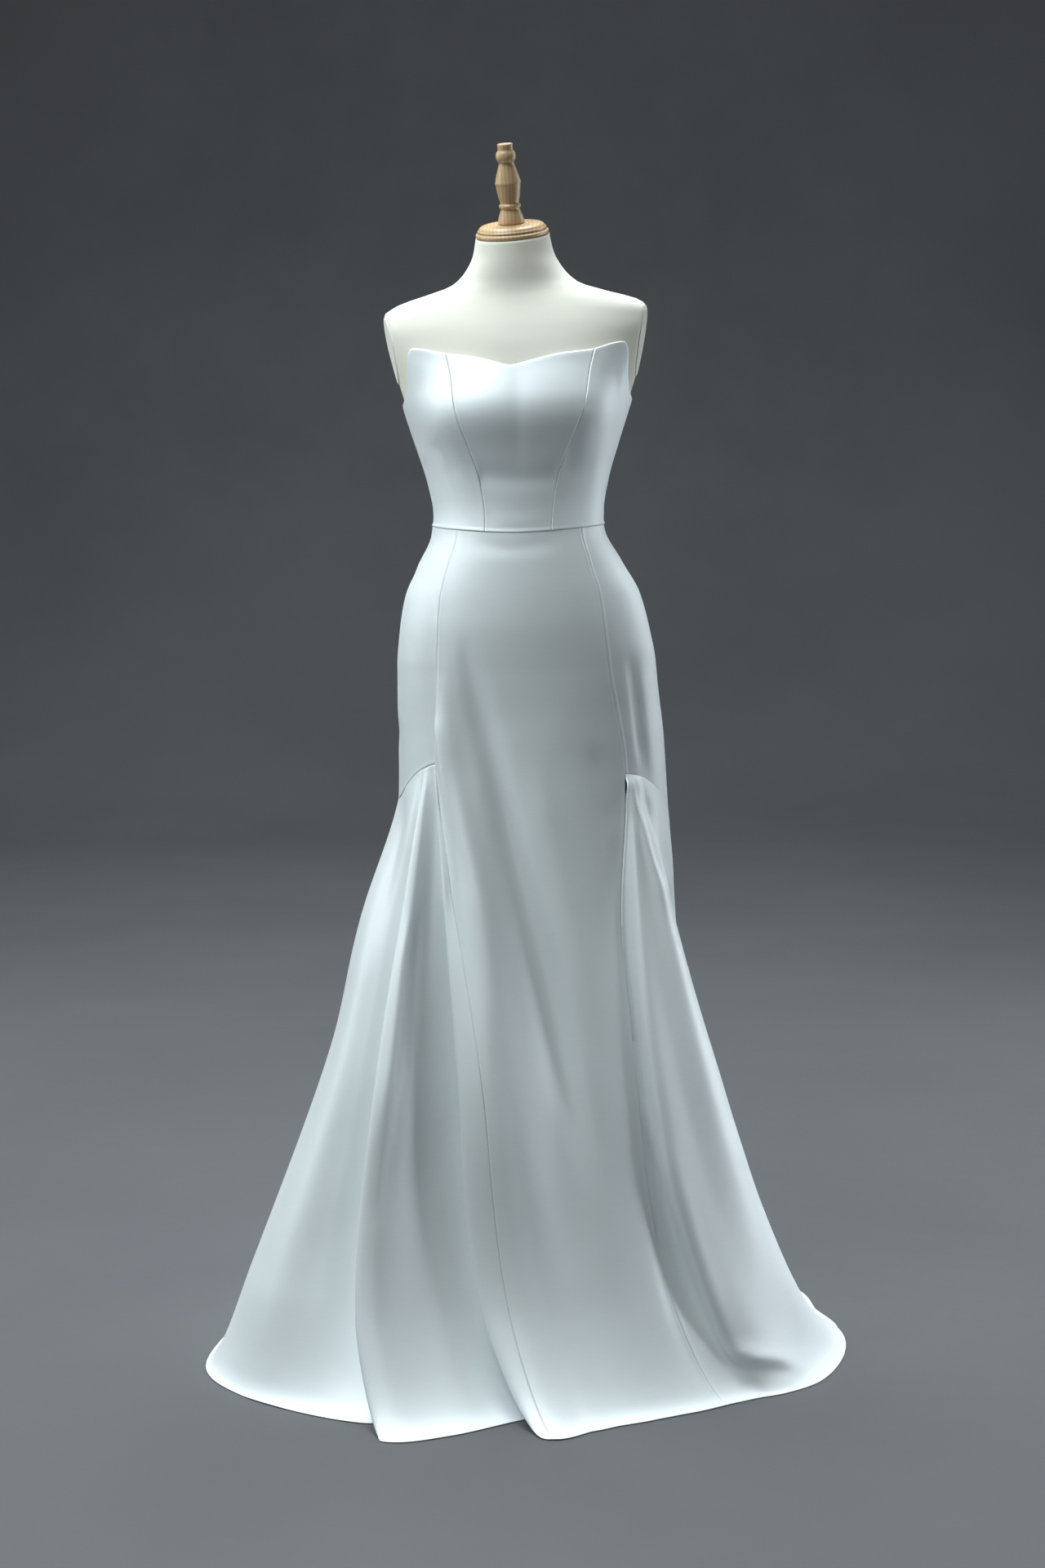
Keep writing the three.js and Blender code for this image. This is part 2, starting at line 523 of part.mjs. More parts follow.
function torsoGeometry() {
  const heights = [...range(formBottom, torsoSplit, torsoLowRows), ...range(torsoSplit, neckTop, torsoTopRows).slice(1)];
  const torsoRows = heights.length - 1;
  const points = heights.flatMap((z) =>
    range(0, 360, torsoColumns).slice(0, -1).map((angle) => torsoPoint(angle > 180 ? angle - 360 : angle, z)),
  );
  const foot = points.length;
  points.push(torsoMiddle(formBottom), torsoMiddle(neckTop));
  const faces = [];
  for (let c = 0; c < torsoColumns; c += 1) {
    const next = (c + 1) % torsoColumns;
    for (let r = 0; r < torsoRows; r += 1) {
      const [low, high] = [r * torsoColumns, (r + 1) * torsoColumns];
      faces.push(low + c, low + next, high + next, low + c, high + next, high + c);
    }
    faces.push(foot, next, c);
    faces.push(foot + 1, torsoRows * torsoColumns + c, torsoRows * torsoColumns + next);
  }
  const geometry = new THREE.BufferGeometry();
  geometry.setAttribute("position", new THREE.Float32BufferAttribute(points.flatMap((p) => p.toArray()), 3));
  geometry.setIndex(faces);
  return geometry;
}

function toSolid(geometry) {
  const bare = geometry.clone();
  bare.deleteAttribute("normal");
  bare.deleteAttribute("uv");
  const merged = mergeVertices(bare, 1e-4);
  const vertProperties = new Float32Array(merged.attributes.position.array);
  return new wasm.Manifold(new wasm.Mesh({ numProp: 3, vertProperties, triVerts: new Uint32Array(merged.index.array) }));
}

function fromSolid(solid) {
  const mesh = solid.getMesh();
  const geometry = new THREE.BufferGeometry();
  geometry.setAttribute("position", new THREE.Float32BufferAttribute(mesh.vertProperties, 3));
  geometry.setIndex(Array.from(mesh.triVerts));
  geometry.computeVertexNormals();
  return geometry;
}

// A block that cuts the flat face of one armhole.
function armholeCutter(side) {
  const slant = Math.atan((armhole.topX - armhole.bottomX) / (armhole.top - armhole.bottom));
  const block = new THREE.BoxGeometry(armhole.size, armhole.size, armhole.size);
  block.translate(armhole.size / 2, 0, 0);
  block.rotateY(slant);
  block.rotateZ(-armhole.turn);
  block.translate(armhole.topX, 0, armhole.top);
  if (side < 0) {
    block.scale(-1, 1, 1);
    const order = block.index.array;
    for (let i = 0; i < order.length; i += 3) [order[i + 1], order[i + 2]] = [order[i + 2], order[i + 1]];
  }
  const position = block.attributes.position;
  for (let i = 0; i < position.count; i += 1) {
    const p = new THREE.Vector3().fromBufferAttribute(position, i);
    p.x += armhole.middle;
    p.copy(leaned(p));
    position.setXYZ(i, p.x, p.y, p.z);
  }
  return block;
}

const torso = toSolid(torsoGeometry()).subtract(toSolid(armholeCutter(1))).subtract(toSolid(armholeCutter(-1)));
addMesh("form_torso", fromSolid(torso), materials.jersey);

// Turned wood on the neck: profiles as radius and height, spun about their axis and then tilted with the neck.
const capProfile = [
  [0, 0], [49, 0], [50.5, 2], [50.5, 5], [48, 8], [46.5, 9], [46, 11], [43.5, 14], [40, 15.5], [0, 15.5],
];
const finialProfile = [
  [0, 0], [18, 0], [17.6, 6], [13, 20], [15, 22.5], [15, 25], [13, 28], [15.4, 38], [17, 51], [17.8, 54],
  [17, 57.5], [13.6, 69], [10.4, 81], [13.6, 87], [13.6, 92.5], [10.4, 97.5], [10.7, 106], [0, 106],
];
const capGap = 0.5;
const turnedSides = 24;

function turned(profile) {
  const lathe = new THREE.LatheGeometry(profile.map(([r, h]) => new THREE.Vector2(r, h)), turnedSides);
  return lathe.rotateX(Math.PI / 2);
}

const neckFrame = new THREE.Group();
const neckAxis = new THREE.Vector3(-Math.tan(neckRoll), -Math.tan(neckTilt), 1).applyAxisAngle(new THREE.Vector3(0, 1, 0), -lean);
neckFrame.position.copy(torsoMiddle(neckTop));
neckFrame.quaternion.setFromUnitVectors(new THREE.Vector3(0, 0, 1), neckAxis.normalize());
dress.add(neckFrame);
const cap = new THREE.Mesh(turned(capProfile), materials.wood);
cap.name = "form_neck_cap";
cap.position.z = capGap;
neckFrame.add(cap);
const finial = new THREE.Mesh(turned(finialProfile), materials.wood);
finial.name = "form_finial";
finial.position.z = capProfile.at(-1)[1] + 2 * capGap;
neckFrame.add(finial);

// The stand under the skirt
const base = { radius: 165, height: 18, edge: 4 };
const pole = { radius: 16, sides: 24 };
const baseProfile = [
  [0, 0], [base.radius, 0], [base.radius, base.height - base.edge], [base.radius - base.edge, base.height], [0, base.height],
];
addMesh("form_base", turned(baseProfile), materials.wood);
const poleBottom = base.height + capGap;
const poleTop = leaned(new THREE.Vector3(0, 0, formBottom)).z - capGap;
const poleGeometry = new THREE.CylinderGeometry(pole.radius, pole.radius, poleTop - poleBottom, pole.sides);
poleGeometry.rotateX(Math.PI / 2).translate(0, 0, (poleTop + poleBottom) / 2);
const polePosition = poleGeometry.attributes.position;
const torsoFootX = leaned(new THREE.Vector3(0, 0, formBottom)).x;
for (let i = 0; i < polePosition.count; i += 1) {
  const z = polePosition.getZ(i);
  if (z > poleBottom + 1) polePosition.setZ(i, z + (polePosition.getX(i) - torsoFootX) * Math.tan(lean));
}
addMesh("form_pole", poleGeometry, materials.wood);

// The slider and pull of the concealed zip, at the top of the centre back seam
const slider = { width: 6, height: 9, thick: 1.6, below: 16, off: 0.4 };
const lug = { wide: 0.8, tall: 2.6, apart: 4.6 };
const pin = { radius: 0.6, out: 4.1, sides: 16 };
const pull = { eye: 1.7, hole: 0.69, wide: 2.6, tabWide: 4.6, tabLong: 21, tabThick: 1 };

function boxAt(wide, deep, tall, x, y, z) {
  return toSolid(new THREE.BoxGeometry(wide, deep, tall).translate(x, y, z));
}

function barAt(radius, long, y, z) {
  return toSolid(new THREE.CylinderGeometry(radius, radius, long, pin.sides).rotateZ(Math.PI / 2).translate(0, y, z));
}

function tabGeometry() {
  const outline = new THREE.Shape();
  const half = pull.tabWide / 2;
  outline.moveTo(-pull.wide / 2, -pull.eye * 0.5);
  outline.lineTo(-1, -pull.eye - 2);
  outline.lineTo(-half, -pull.tabLong + half);
  outline.absarc(0, -pull.tabLong + half, half, Math.PI, 2 * Math.PI, false);
  outline.lineTo(1, -pull.eye - 2);
  outline.lineTo(pull.wide / 2, -pull.eye * 0.5);
  const tab = new THREE.ExtrudeGeometry(outline, { depth: pull.tabThick, bevelEnabled: false, curveSegments: 8 });
  return tab.translate(0, 0, -pull.tabThick / 2).rotateX(Math.PI / 2);
}

const plateMiddle = slider.off + slider.thick / 2;
let sliderSolid = boxAt(slider.width, slider.thick, slider.height, 0, plateMiddle, 0);
for (const side of [-1, 1]) {
  const lugX = side * ((lug.apart - lug.wide) / 2);
  sliderSolid = sliderSolid.add(boxAt(lug.wide, pin.out - slider.off, lug.tall, lugX, (pin.out + slider.off) / 2 + 0.6, 0));
}
sliderSolid = sliderSolid.add(barAt(pin.radius, lug.apart - 0.2, pin.out, 0));
const pullSolid = toSolid(tabGeometry())
  .add(barAt(pull.eye, lug.apart - 2 * lug.wide - 0.4, 0, 0))
  .subtract(barAt(pull.hole, 2 * lug.apart, 0, 0));

const zipHeight = topEdgeHeight(180) - slider.below;
const onCloth = fittedPoint(180, zipHeight);
const upCloth = fittedPoint(180, zipHeight + slider.height).sub(onCloth);
const zipSlope = Math.atan2(upCloth.y, upCloth.z);
const zipOutward = new THREE.Vector3(0, Math.cos(zipSlope), -Math.sin(zipSlope));
const zipFrame = new THREE.Group();
zipFrame.position.copy(onCloth).addScaledVector(zipOutward, pin.out);
dress.add(zipFrame);
const sliderMesh = addMesh("zip_slider", fromSolid(sliderSolid).translate(0, -pin.out, 0), materials.metal);
sliderMesh.rotation.x = -zipSlope;
zipFrame.add(sliderMesh, addMesh("zip_pull", fromSolid(pullSolid), materials.metal));

export default dress;
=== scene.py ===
import math

import bpy
import numpy as np
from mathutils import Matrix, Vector


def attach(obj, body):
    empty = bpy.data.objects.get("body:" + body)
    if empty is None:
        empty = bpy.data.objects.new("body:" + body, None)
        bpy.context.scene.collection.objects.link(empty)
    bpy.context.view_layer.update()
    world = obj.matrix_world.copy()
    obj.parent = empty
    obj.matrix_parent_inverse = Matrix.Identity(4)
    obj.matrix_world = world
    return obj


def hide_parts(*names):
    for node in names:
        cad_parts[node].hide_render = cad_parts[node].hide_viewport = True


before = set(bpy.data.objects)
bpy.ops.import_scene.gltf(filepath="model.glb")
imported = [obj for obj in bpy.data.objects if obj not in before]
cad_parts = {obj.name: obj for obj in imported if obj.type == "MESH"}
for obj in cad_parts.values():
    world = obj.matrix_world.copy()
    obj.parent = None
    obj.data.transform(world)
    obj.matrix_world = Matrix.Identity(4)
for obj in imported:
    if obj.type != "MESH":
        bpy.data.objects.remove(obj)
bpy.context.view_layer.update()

# A strapless satin wedding dress on a padded dress form. The shape code works in millimetres and the meshes are
# in metres. -Y is the front and +X the wearer's left, so right here is the viewer's left.

mm = 0.001

# Camera, lamps and floor

camera = {"at": (0.0046, -3.030, 1.140), "tilt": 83.303, "lens": 49.5, "film": 36.0}
softboxes = [
    {"name": "windowLeft", "at": (-2.5, 0.0, 2.1), "aim": (0, 0, 1.1), "wide": 1.6, "tall": 2.4,
     "watts": 26, "colour": (0.86, 0.97, 1.0)},
    {"name": "rimRight", "at": (2.3, 1.0, 1.5), "aim": (0, 0, 0.9), "wide": 1.2, "tall": 2.2,
     "watts": 27, "colour": (0.86, 0.96, 1.0)},
    {"name": "frontCeiling", "at": (-1.4, -1.4, 4.0), "aim": (0, -0.1, 0.6), "wide": 1.9, "tall": 1.2,
     "watts": 91, "colour": (0.87, 0.98, 1.0)},
    {"name": "backCeiling", "at": (-0.3, 1.3, 7.0), "aim": (0, -0.2, 0.4), "wide": 3.4, "tall": 2.2,
     "watts": 555, "colour": (0.88, 0.97, 1.0)},
    {"name": "hemRight", "at": (1.7, -0.4, 0.5), "aim": (0.4, -0.05, 0.26), "wide": 0.5, "tall": 0.5,
     "watts": 0.5, "colour": (0.86, 0.94, 1.0), "beam": 30},
    {"name": "bustLeft", "at": (-1.7, -1.0, 1.9), "aim": (-0.14, -0.08, 1.21), "wide": 0.4, "tall": 0.4,
     "watts": 0.12, "colour": (0.86, 0.96, 1.0), "beam": 14},
    {"name": "bustRight", "at": (1.7, -0.9, 1.3), "aim": (0.14, -0.08, 1.23), "wide": 0.4, "tall": 0.4,
     "watts": 0.06, "colour": (0.86, 0.96, 1.0), "beam": 13},
]
studio = {"air": (0.88, 0.86, 0.87), "airStrength": 0.09, "wallAt": 7.5, "bend": 2.6, "tall": 9.0,
          "side": 12.0}


def setCamera():
    data = bpy.data.cameras.new("photoCamera")
    data.lens = camera["lens"]
    data.sensor_fit = "VERTICAL"
    data.sensor_height = camera["film"]
    data.clip_end = 60
    eye = bpy.data.objects.new("photoCamera", data)
    eye.location = camera["at"]
    eye.rotation_euler = (math.radians(camera["tilt"]), 0, 0)
    bpy.context.scene.collection.objects.link(eye)
    bpy.context.scene.camera = eye


def hangSoftboxes():
    for box in softboxes:
        data = bpy.data.lights.new(box["name"], "AREA")
        data.shape = "RECTANGLE"
        data.size = box["wide"]
        data.size_y = box["tall"]
        data.energy = box["watts"]
        data.color = box["colour"]
        data.spread = math.radians(box.get("beam", 180))  # a narrow beam keeps to what it aims at
        lamp = bpy.data.objects.new(box["name"], data)
        lamp.location = box["at"]
        lamp.rotation_euler = (Vector(box["aim"]) - Vector(box["at"])).to_track_quat("-Z", "Y").to_euler()
        bpy.context.scene.collection.objects.link(lamp)
    world = bpy.data.worlds.new("studioAir")
    world.use_nodes = True
    air = world.node_tree.nodes["Background"]
    air.inputs["Color"].default_value = (*studio["air"], 1)
    air.inputs["Strength"].default_value = studio["airStrength"]
    bpy.context.scene.world = world


setCamera()
hangSoftboxes()
print("camera and softboxes stand")


# Meshes

def meshFrom(name, points, quads, across=None):
    mesh = bpy.data.meshes.new(name)
    points = np.asarray(points, float) * mm
    quads = np.asarray(quads, np.int32)
    mesh.vertices.add(len(points))
    mesh.vertices.foreach_set("co", points.ravel())
    mesh.loops.add(quads.size)
    mesh.loops.foreach_set("vertex_index", quads.ravel())
    mesh.polygons.add(len(quads))
    mesh.polygons.foreach_set("loop_start", np.arange(0, quads.size, 4, dtype=np.int32))
    mesh.update(calc_edges=True)
    mesh.polygons.foreach_set("use_smooth", np.ones(len(quads), bool))
    if across is not None:  # lengths along the cloth, in metres
        layer = mesh.uv_layers.new(name="cloth")
        layer.data.foreach_set("uv", (across[quads.ravel()] * mm).ravel())
    mesh.validate()
    piece = bpy.data.objects.new(name, mesh)
    bpy.context.scene.collection.objects.link(piece)
    return piece


def ringQuads(around, along, closed=True):
    c = np.arange(around if closed else around - 1)
    r = np.arange(along - 1)[:, None]
    n = (c + 1) % around
    return np.stack([r * around + c, r * around + n, (r + 1) * around + n, (r + 1) * around + c],
                    -1).reshape(-1, 4)


def closedQuads(around, along):
    # Rings joined along the piece, with strips of quads that close the first and the last one.
    ends = []
    for start, flip in ((0, True), ((along - 1) * around, False)):
        for c in range(around // 2 - 1):
            a, b = start + c, start + c + 1
            d, e = start + around - 1 - c, start + around - 2 - c
            ends.append([a, d, e, b] if flip else [a, b, e, d])
    return np.concatenate([ringQuads(around, along), ends])


# Curves and tables, as in the solid model

def rows(names, *values):
    return {name: np.array(column, float) for name, column in zip(names.split(), zip(*values))}


def hermite(a, b, slopeA, slopeB, span, t):
    t2, t3 = t * t, t * t * t
    return ((2 * t3 - 3 * t2 + 1) * a + (t3 - 2 * t2 + t) * span * slopeA
            + (3 * t2 - 2 * t3) * b + (t3 - t2) * span * slopeB)


def curveThrough(table, across, up):
    x, y = table[across], table[up]
    chord = np.diff(y) / np.diff(x)
    slope = np.concatenate([chord[:1], np.zeros(len(x) - 2), chord[-1:]])
    before, after = chord[:-1], chord[1:]
    same = before * after > 0
    slope[1:-1][same] = 2 * before[same] * after[same] / (before[same] + after[same])

    def curve(at):
        at = np.asarray(at, float)
        i = np.clip(np.searchsorted(x, at) - 1, 0, len(x) - 2)
        span = x[i + 1] - x[i]
        inside = hermite(y[i], y[i + 1], slope[i], slope[i + 1], span, (at - x[i]) / span)
        inside = np.where(at <= x[0], y[0] + slope[0] * (at - x[0]), inside)
        return np.where(at >= x[-1], y[-1] + slope[-1] * (at - x[-1]), inside)
    return curve


def lerp(a, b, t):
    return a + (b - a) * t


def smooth(low, high, at):
    t = np.clip((at - low) / (high - low), 0, 1)
    return t * t * (3 - 2 * t)


stand = {"waist": 1140, "bust": 1298, "hips": 950, "foot": 845, "lean": math.radians(1.8), "knee": 420,
         "ankle": 130}
cloth = {"thick": 2.0, "gap": 2.5, "shown": 1.6, "between": 0.12, "perDegree": 2.9, "freeEdge": 0.55,
         "underside": 0.15, "rimLow": 0.3}

bodySections = rows("z half front back middle",
    (845, 171, 92, 116, 7), (900, 177, 98, 126, 5.5), (950, 177, 101, 128, 4.2), (1000, 171, 101, 123, 2.6),
    (1050, 160, 98, 111, 1.4), (1095, 138, 93, 98, -1), (1140, 116, 87, 88, -1.5), (1165, 114, 86, 87, 0),
    (1208, 121, 89, 95, 0.8), (1253, 134.5, 94, 102, 1.4), (1298, 149, 100, 108, 2.4),
                    (1340, 162, 97, 110, 3.6),
    (1387, 182, 87, 107, 4), (1415, 191, 77, 102, 4), (1436, 187, 67, 95, 5.5), (1452, 166, 59, 86, 7),
    (1464, 127, 54, 77, 5), (1477, 88, 52, 67, 5), (1497, 67, 52, 57, 4.5), (1519, 55.5, 51, 51, 3.8),
    (1543, 50.5, 50, 47, 3.4))
hangingSections = rows("z half front back middle",
    (720, 193, 138, 150, 7), (790, 189, 124, 141, 8), (850, 187, 114, 135, 7.6),
                       (900, 184.5, 108, 133, 5.8),
    (950, 181.5, 105.5, 132.5, 4.2))
skirtSeams = rows("z frontRight frontLeft back",
    (720, -44.2, 42.5, 138), (825, -44.2, 42.5, 138), (880, -43, 40.8, 139), (965, -42, 38.6, 140),
    (1065, -43.2, 40.4, 143), (1145, -44, 46, 146))
bodiceSeams = rows("z princessRight princessLeft side back",
    (1140, -22, 22, 84, 140), (1220, -24.5, 25, 85, 140), (1300, -28, 30, 86, 143),
                   (1390, -31.5, 35, 87, 145))
waistSeam = rows("angle z", (-180, 1147), (-90, 1150), (-45, 1144), (0, 1137.5), (45, 1141.5), (90, 1146),
                 (180, 1147))
topEdge = rows("angle z",
    (-180, 1292), (-145, 1296), (-110, 1306), (-86, 1316), (-73, 1324), (-63, 1340), (-56, 1362),
               (-51, 1382),
    (-47, 1389), (-41, 1387), (-31, 1380), (-20, 1375), (-10, 1367), (-3, 1361), (5, 1366), (18, 1375),
               (33, 1380),
    (43, 1388), (49, 1390), (53, 1382), (58, 1362), (65, 1340), (74, 1324), (86, 1316), (110, 1306),
               (145, 1296),
    (180, 1292))
godetSeam = rows("angle z",
    (-180, 800), (-138, 796), (-112, 774), (-96, 767), (-80, 774), (-65, 799), (-55, 816), (-44.2, 825),
                 (0, 812),
    (42.5, 804), (51, 799), (65, 780), (82, 748), (98, 742), (114, 754), (138, 796), (180, 800))

# The lower skirt's fold lines, from the centre back round by the wearer's right.
foldNames = """backCentre backFluteRight backHollowRight backSeamRight sideBackHollowRight sideBackFluteRight
    sideHollowRight sideRidgeRight sideFaceRight sideFaceInnerRight outerHollow outerTuck outerFold outerFoldFront
    frontHollow innerTuck innerFold frontSeamRight panelRight drapeHollow drapeRidge panelMiddle panelLeft
    frontSeamLeft floorDent floorBuckle godetFaceLeft godetFold godetFoldBack sideHollowLeft sideRidgeLeft
    sideBackFoldLeft sideBackFluteLeft sideBackHollowLeft backSeamLeft backHollowLeft backFluteLeft""".split()
foldLines = rows("angle kneeX kneeY ankleX ankleY hemX hemY bowX",
    (-180, 0, 222, 0, 378, 0, 516, 0),
    (-166, -58, 238, -88, 392, -118, 516, 0),
    (-152, -98, 197, -138, 322, -190, 432, 0),
    (-138, -146, 200, -206, 320, -272, 420, 0),
    (-123, -172, 138, -240, 214, -320, 292, 0),
    (-110, -228, 112, -322, 168, -404, 218, 0),
    (-97, -236, 34, -322, 36, -400, 44, -6),
    (-84, -265, -72, -372, -140, -429, -190, -12),
    (-72, -246, -158, -334, -240, -370, -282, -7),
    (-63.5, -214, -174, -266, -268, -272, -346, 0),
    (-56.8, -176, -178, -206, -276, -196, -374, 0),
    (-53.8, -162, -188, -180, -286, -152, -370, 0),
    (-52, -190, -240, -213, -330, -176, -426, 0),
    (-50.5, -168, -244, -188, -338, -146, -432, 0),
    (-48.8, -116, -202, -120, -300, -80, -410, 0),
    (-47.2, -60, -188, -24, -272, 34, -356, 0),
    (-45.7, -82, -226, -50, -304, 26, -418, 0),
    (-44.2, -50, -242, -14, -314, 44, -424, 0),
    (-31, -14, -238, 36, -304, 92, -400, 0),
    (-14, 42, -212, 84, -291, 130, -382, 0),
    (3, 94, -216, 128, -284, 166, -368, 0),
    (17, 122, -212, 158, -275, 200, -352, 0),
    (30, 143, -206, 184, -264, 240, -334, -6),
    (42.5, 157, -200, 201, -252, 274, -315, -11),
    (44, 167, -194, 232, -238, 318, -292, -8),
    (45.4, 182, -218, 256, -258, 352, -278, 0),
    (46.8, 214, -208, 306, -240, 408, -234, 0),
    (48.2, 258, -192, 364, -186, 456, -126, 0),
    (52, 266, -116, 366, -92, 458, -42, 0),
    (66, 238, -42, 340, 14, 436, 36, 0),
    (84, 246, 22, 334, 76, 424, 108, 0),
    (98, 222, 70, 296, 124, 376, 170, 0),
    (112, 214, 126, 300, 190, 382, 252, 0),
    (125, 166, 148, 232, 226, 310, 312, 0),
    (138, 144, 202, 202, 322, 264, 424, 0),
    (152, 98, 198, 138, 324, 188, 434, 0),
    (166, 58, 238, 88, 392, 118, 516, 0))
foldShares = {"knee": 0.5, "ankle": 0.84, "floorRun": 0.9, "godetFlare": 0.85, "panelFlare": 0.35}
godetSpans = ((-138, -44.2), (42.5, 138))

body = {name: curveThrough(bodySections, "z", name) for name in ("half", "front", "back", "middle")}
hanging = {name: curveThrough(hangingSections, "z", name) for name in ("half", "front", "back", "middle")}
seam = {name: curveThrough(skirtSeams, "z", name) for name in ("frontRight", "frontLeft", "back")}
bodiceSeam = {name: curveThrough(bodiceSeams, "z", name) for name in ("princessRight", "princessLeft",
                                                                      "side", "back")}
waistSeamHeight = curveThrough(waistSeam, "angle", "z")
topEdgeHeight = curveThrough(topEdge, "angle", "z")
godetSeamHeight = curveThrough(godetSeam, "angle", "z")

bust = {"angle": 31, "width": 21, "above": 56, "below": 62, "reach": 23, "span": 0.24}
tips = {"right": -46.5, "left": 49, "width": 9, "below": 46, "reach": 5}


def bustReach(angle, z, spanned):
    rise = (z - stand["bust"]) / np.where(z > stand["bust"], bust["above"], bust["below"])
    off = np.abs(angle) - bust["angle"]
    swell = np.exp(-((off / bust["width"]) ** 2))
    if spanned:
        swell = np.where(off < 0, 1 - bust["span"] * (off / bust["angle"]) ** 2, swell)
    return bust["reach"] * np.exp(-rise * rise) * swell


def ovalPoint(section, angle, z, ease, reach):
    a = np.radians(angle)
    depth = np.where(np.cos(a) > 0, section["front"](z), section["back"](z)) + ease
    x = section["middle"](z) + (section["half"](z) + ease + reach) * np.sin(a)
    return np.stack(np.broadcast_arrays(x, -(depth + reach) * np.cos(a), z), -1)


def leaned(p):
    up = p[..., 2] - stand["waist"]
    c, s = math.cos(stand["lean"]), math.sin(stand["lean"])
    return np.stack([p[..., 0] * c - up * s, p[..., 1], stand["waist"] + p[..., 0] * s + up * c], -1)


def fittedPoint(angle, z):
    angle, z = np.broadcast_arrays(np.asarray(angle, float), np.asarray(z, float))
    deep = np.maximum(0, 1 - (topEdgeHeight(angle) - z) / tips["below"])
    across = (angle - np.where(angle < 0, tips["right"], tips["left"])) / tips["width"]
    lift = np.where(z > stand["bust"], tips["reach"] * deep * np.exp(-across * across), 0)
    onForm = ovalPoint(body, angle, z, cloth["gap"] + cloth["thick"] + lift, bustReach(angle, z, True))
    free = ovalPoint(hanging, angle, z, 0, 0)
    return leaned(np.where((z < stand["hips"])[..., None], free, onForm))


foldCount = len(foldNames)
foldTopHeight = godetSeamHeight(foldLines["angle"])
foldTop = fittedPoint(foldLines["angle"], foldTopHeight)


def foldPoints(share):
    angle, kneeAt, ankleAt = foldLines["angle"], foldShares["knee"], foldShares["ankle"]
    def station(name, z):
        return np.stack([foldLines[name + "X"], foldLines[name + "Y"], np.full(foldCount, float(z))], -1)
    knee, ankle = station("knee", stand["knee"]), station("ankle", stand["ankle"])
    hem = station("hem", cloth["thick"])
    above = fittedPoint(angle, foldTopHeight + 1)
    hang = (foldTop - above) * ((foldTopHeight - stand["knee"]) / kneeAt)[:, None]
    flare = (knee - foldTop) / kneeAt
    inGodet = np.any([(angle > low) & (angle < high) for low, high in godetSpans], axis=0)
    flareShare = np.where(inGodet, foldShares["godetFlare"], foldShares["panelFlare"])[:, None]
    toKnee = (ankle - foldTop) / ankleAt
    toKnee[:, 2] = (stand["ankle"] - foldTopHeight) / ankleAt
    toAnkle = (hem - knee) / (1 - kneeAt)
    toHem = (hem - ankle) * (foldShares["floorRun"] / (1 - ankleAt))
    toHem[:, 2] = 0
    heading = [lerp(hang, flare, flareShare), toKnee, toAnkle, toHem]
    points, at = [foldTop, knee, ankle, hem], [0, kneeAt, ankleAt, 1]
    share = np.atleast_1d(share)
    out = np.empty((foldCount, len(share), 3))
    for i in range(3):
        use = (share >= at[i]) & ((share < at[i + 1]) if i < 2 else (share <= 1))
        t = ((share[use] - at[i]) / (at[i + 1] - at[i]))[None, :, None]
        out[:, use] = hermite(points[i][:, None], points[i + 1][:, None],
                              heading[i][:, None], heading[i + 1][:, None], at[i + 1] - at[i], t)
    sway = np.where(share < kneeAt, np.sin(np.pi * share / kneeAt) ** 2, 0)
    out[..., 0] += foldLines["bowX"][:, None] * sway[None]
    out[..., 2] = np.maximum(cloth["thick"], out[..., 2])
    return out


def angleAt(place):
    i = np.floor(place).astype(int)
    low = foldLines["angle"][np.mod(i, foldCount)] + 360 * np.floor_divide(i, foldCount)
    high = foldLines["angle"][np.mod(i + 1, foldCount)] + 360 * np.floor_divide(i + 1, foldCount)
    angle = lerp(low, high, place - i)
    return np.mod(angle + 180, 360) - 180


def flaredGrid(places, shares):
    lines = foldPoints(shares)
    i = np.floor(places).astype(int)
    t = (places - i)[:, None, None]
    near = [np.mod(i + k, foldCount) for k in (-1, 0, 1, 2)]
    at = [lines[n] for n in near]
    step = [np.sqrt(np.linalg.norm(at[k + 1] - at[k], axis=2))[..., None] for k in range(3)]
    offset = [at[k] - foldTop[near[k]][:, None] for k in range(4)]
    def slope(k):
        before = (offset[k] - offset[k - 1]) / step[k - 1]
        after = (offset[k + 1] - offset[k]) / step[k]
        return lerp(before, after, step[k - 1] / (step[k - 1] + step[k]))
    angle = angleAt(places)
    top = fittedPoint(angle, godetSeamHeight(angle))[:, None]
    points = top + hermite(offset[1], offset[2], slope(1), slope(2), step[1], t)
    points[..., 2] = np.maximum(cloth["thick"], points[..., 2])
    return points.transpose(1, 0, 2)


def seamAngles(z):
    z = np.asarray(z, float)
    return np.stack([np.full(z.shape, -180.0), -seam["back"](z), seam["frontRight"](z),
                     seam["frontLeft"](z),
                     seam["back"](z), np.full(z.shape, 180.0)])


def hipGrid(places, shares):
    low = angleAt(places)
    bottom = godetSeamHeight(low)
    there = seamAngles(bottom)
    k = np.clip((low >= there[:5]).sum(0) - 1, 0, 4)
    columns = np.arange(len(places))
    part = (low - there[k, columns]) / (there[k + 1, columns] - there[k, columns])
    atWaist = seamAngles(float(stand["waist"]))
    z = lerp(waistSeamHeight(lerp(atWaist[k], atWaist[k + 1], part)), bottom, shares[:, None])
    here = seamAngles(z)
    r = np.arange(len(shares))[:, None]
    return fittedPoint(lerp(here[k, r, columns], here[k + 1, r, columns], part), z)


def skirtGrid(places, rowList):
    upper, lower = rowList[rowList < 1], rowList[rowList >= 1]
    parts = []
    if len(upper):
        parts.append(hipGrid(places, upper))
    if len(lower):
        parts.append(flaredGrid(places, lower - 1))
    if len(lower) == 1:
        parts[-1] = hipGrid(places, np.array([1.0]))
    return np.concatenate(parts)


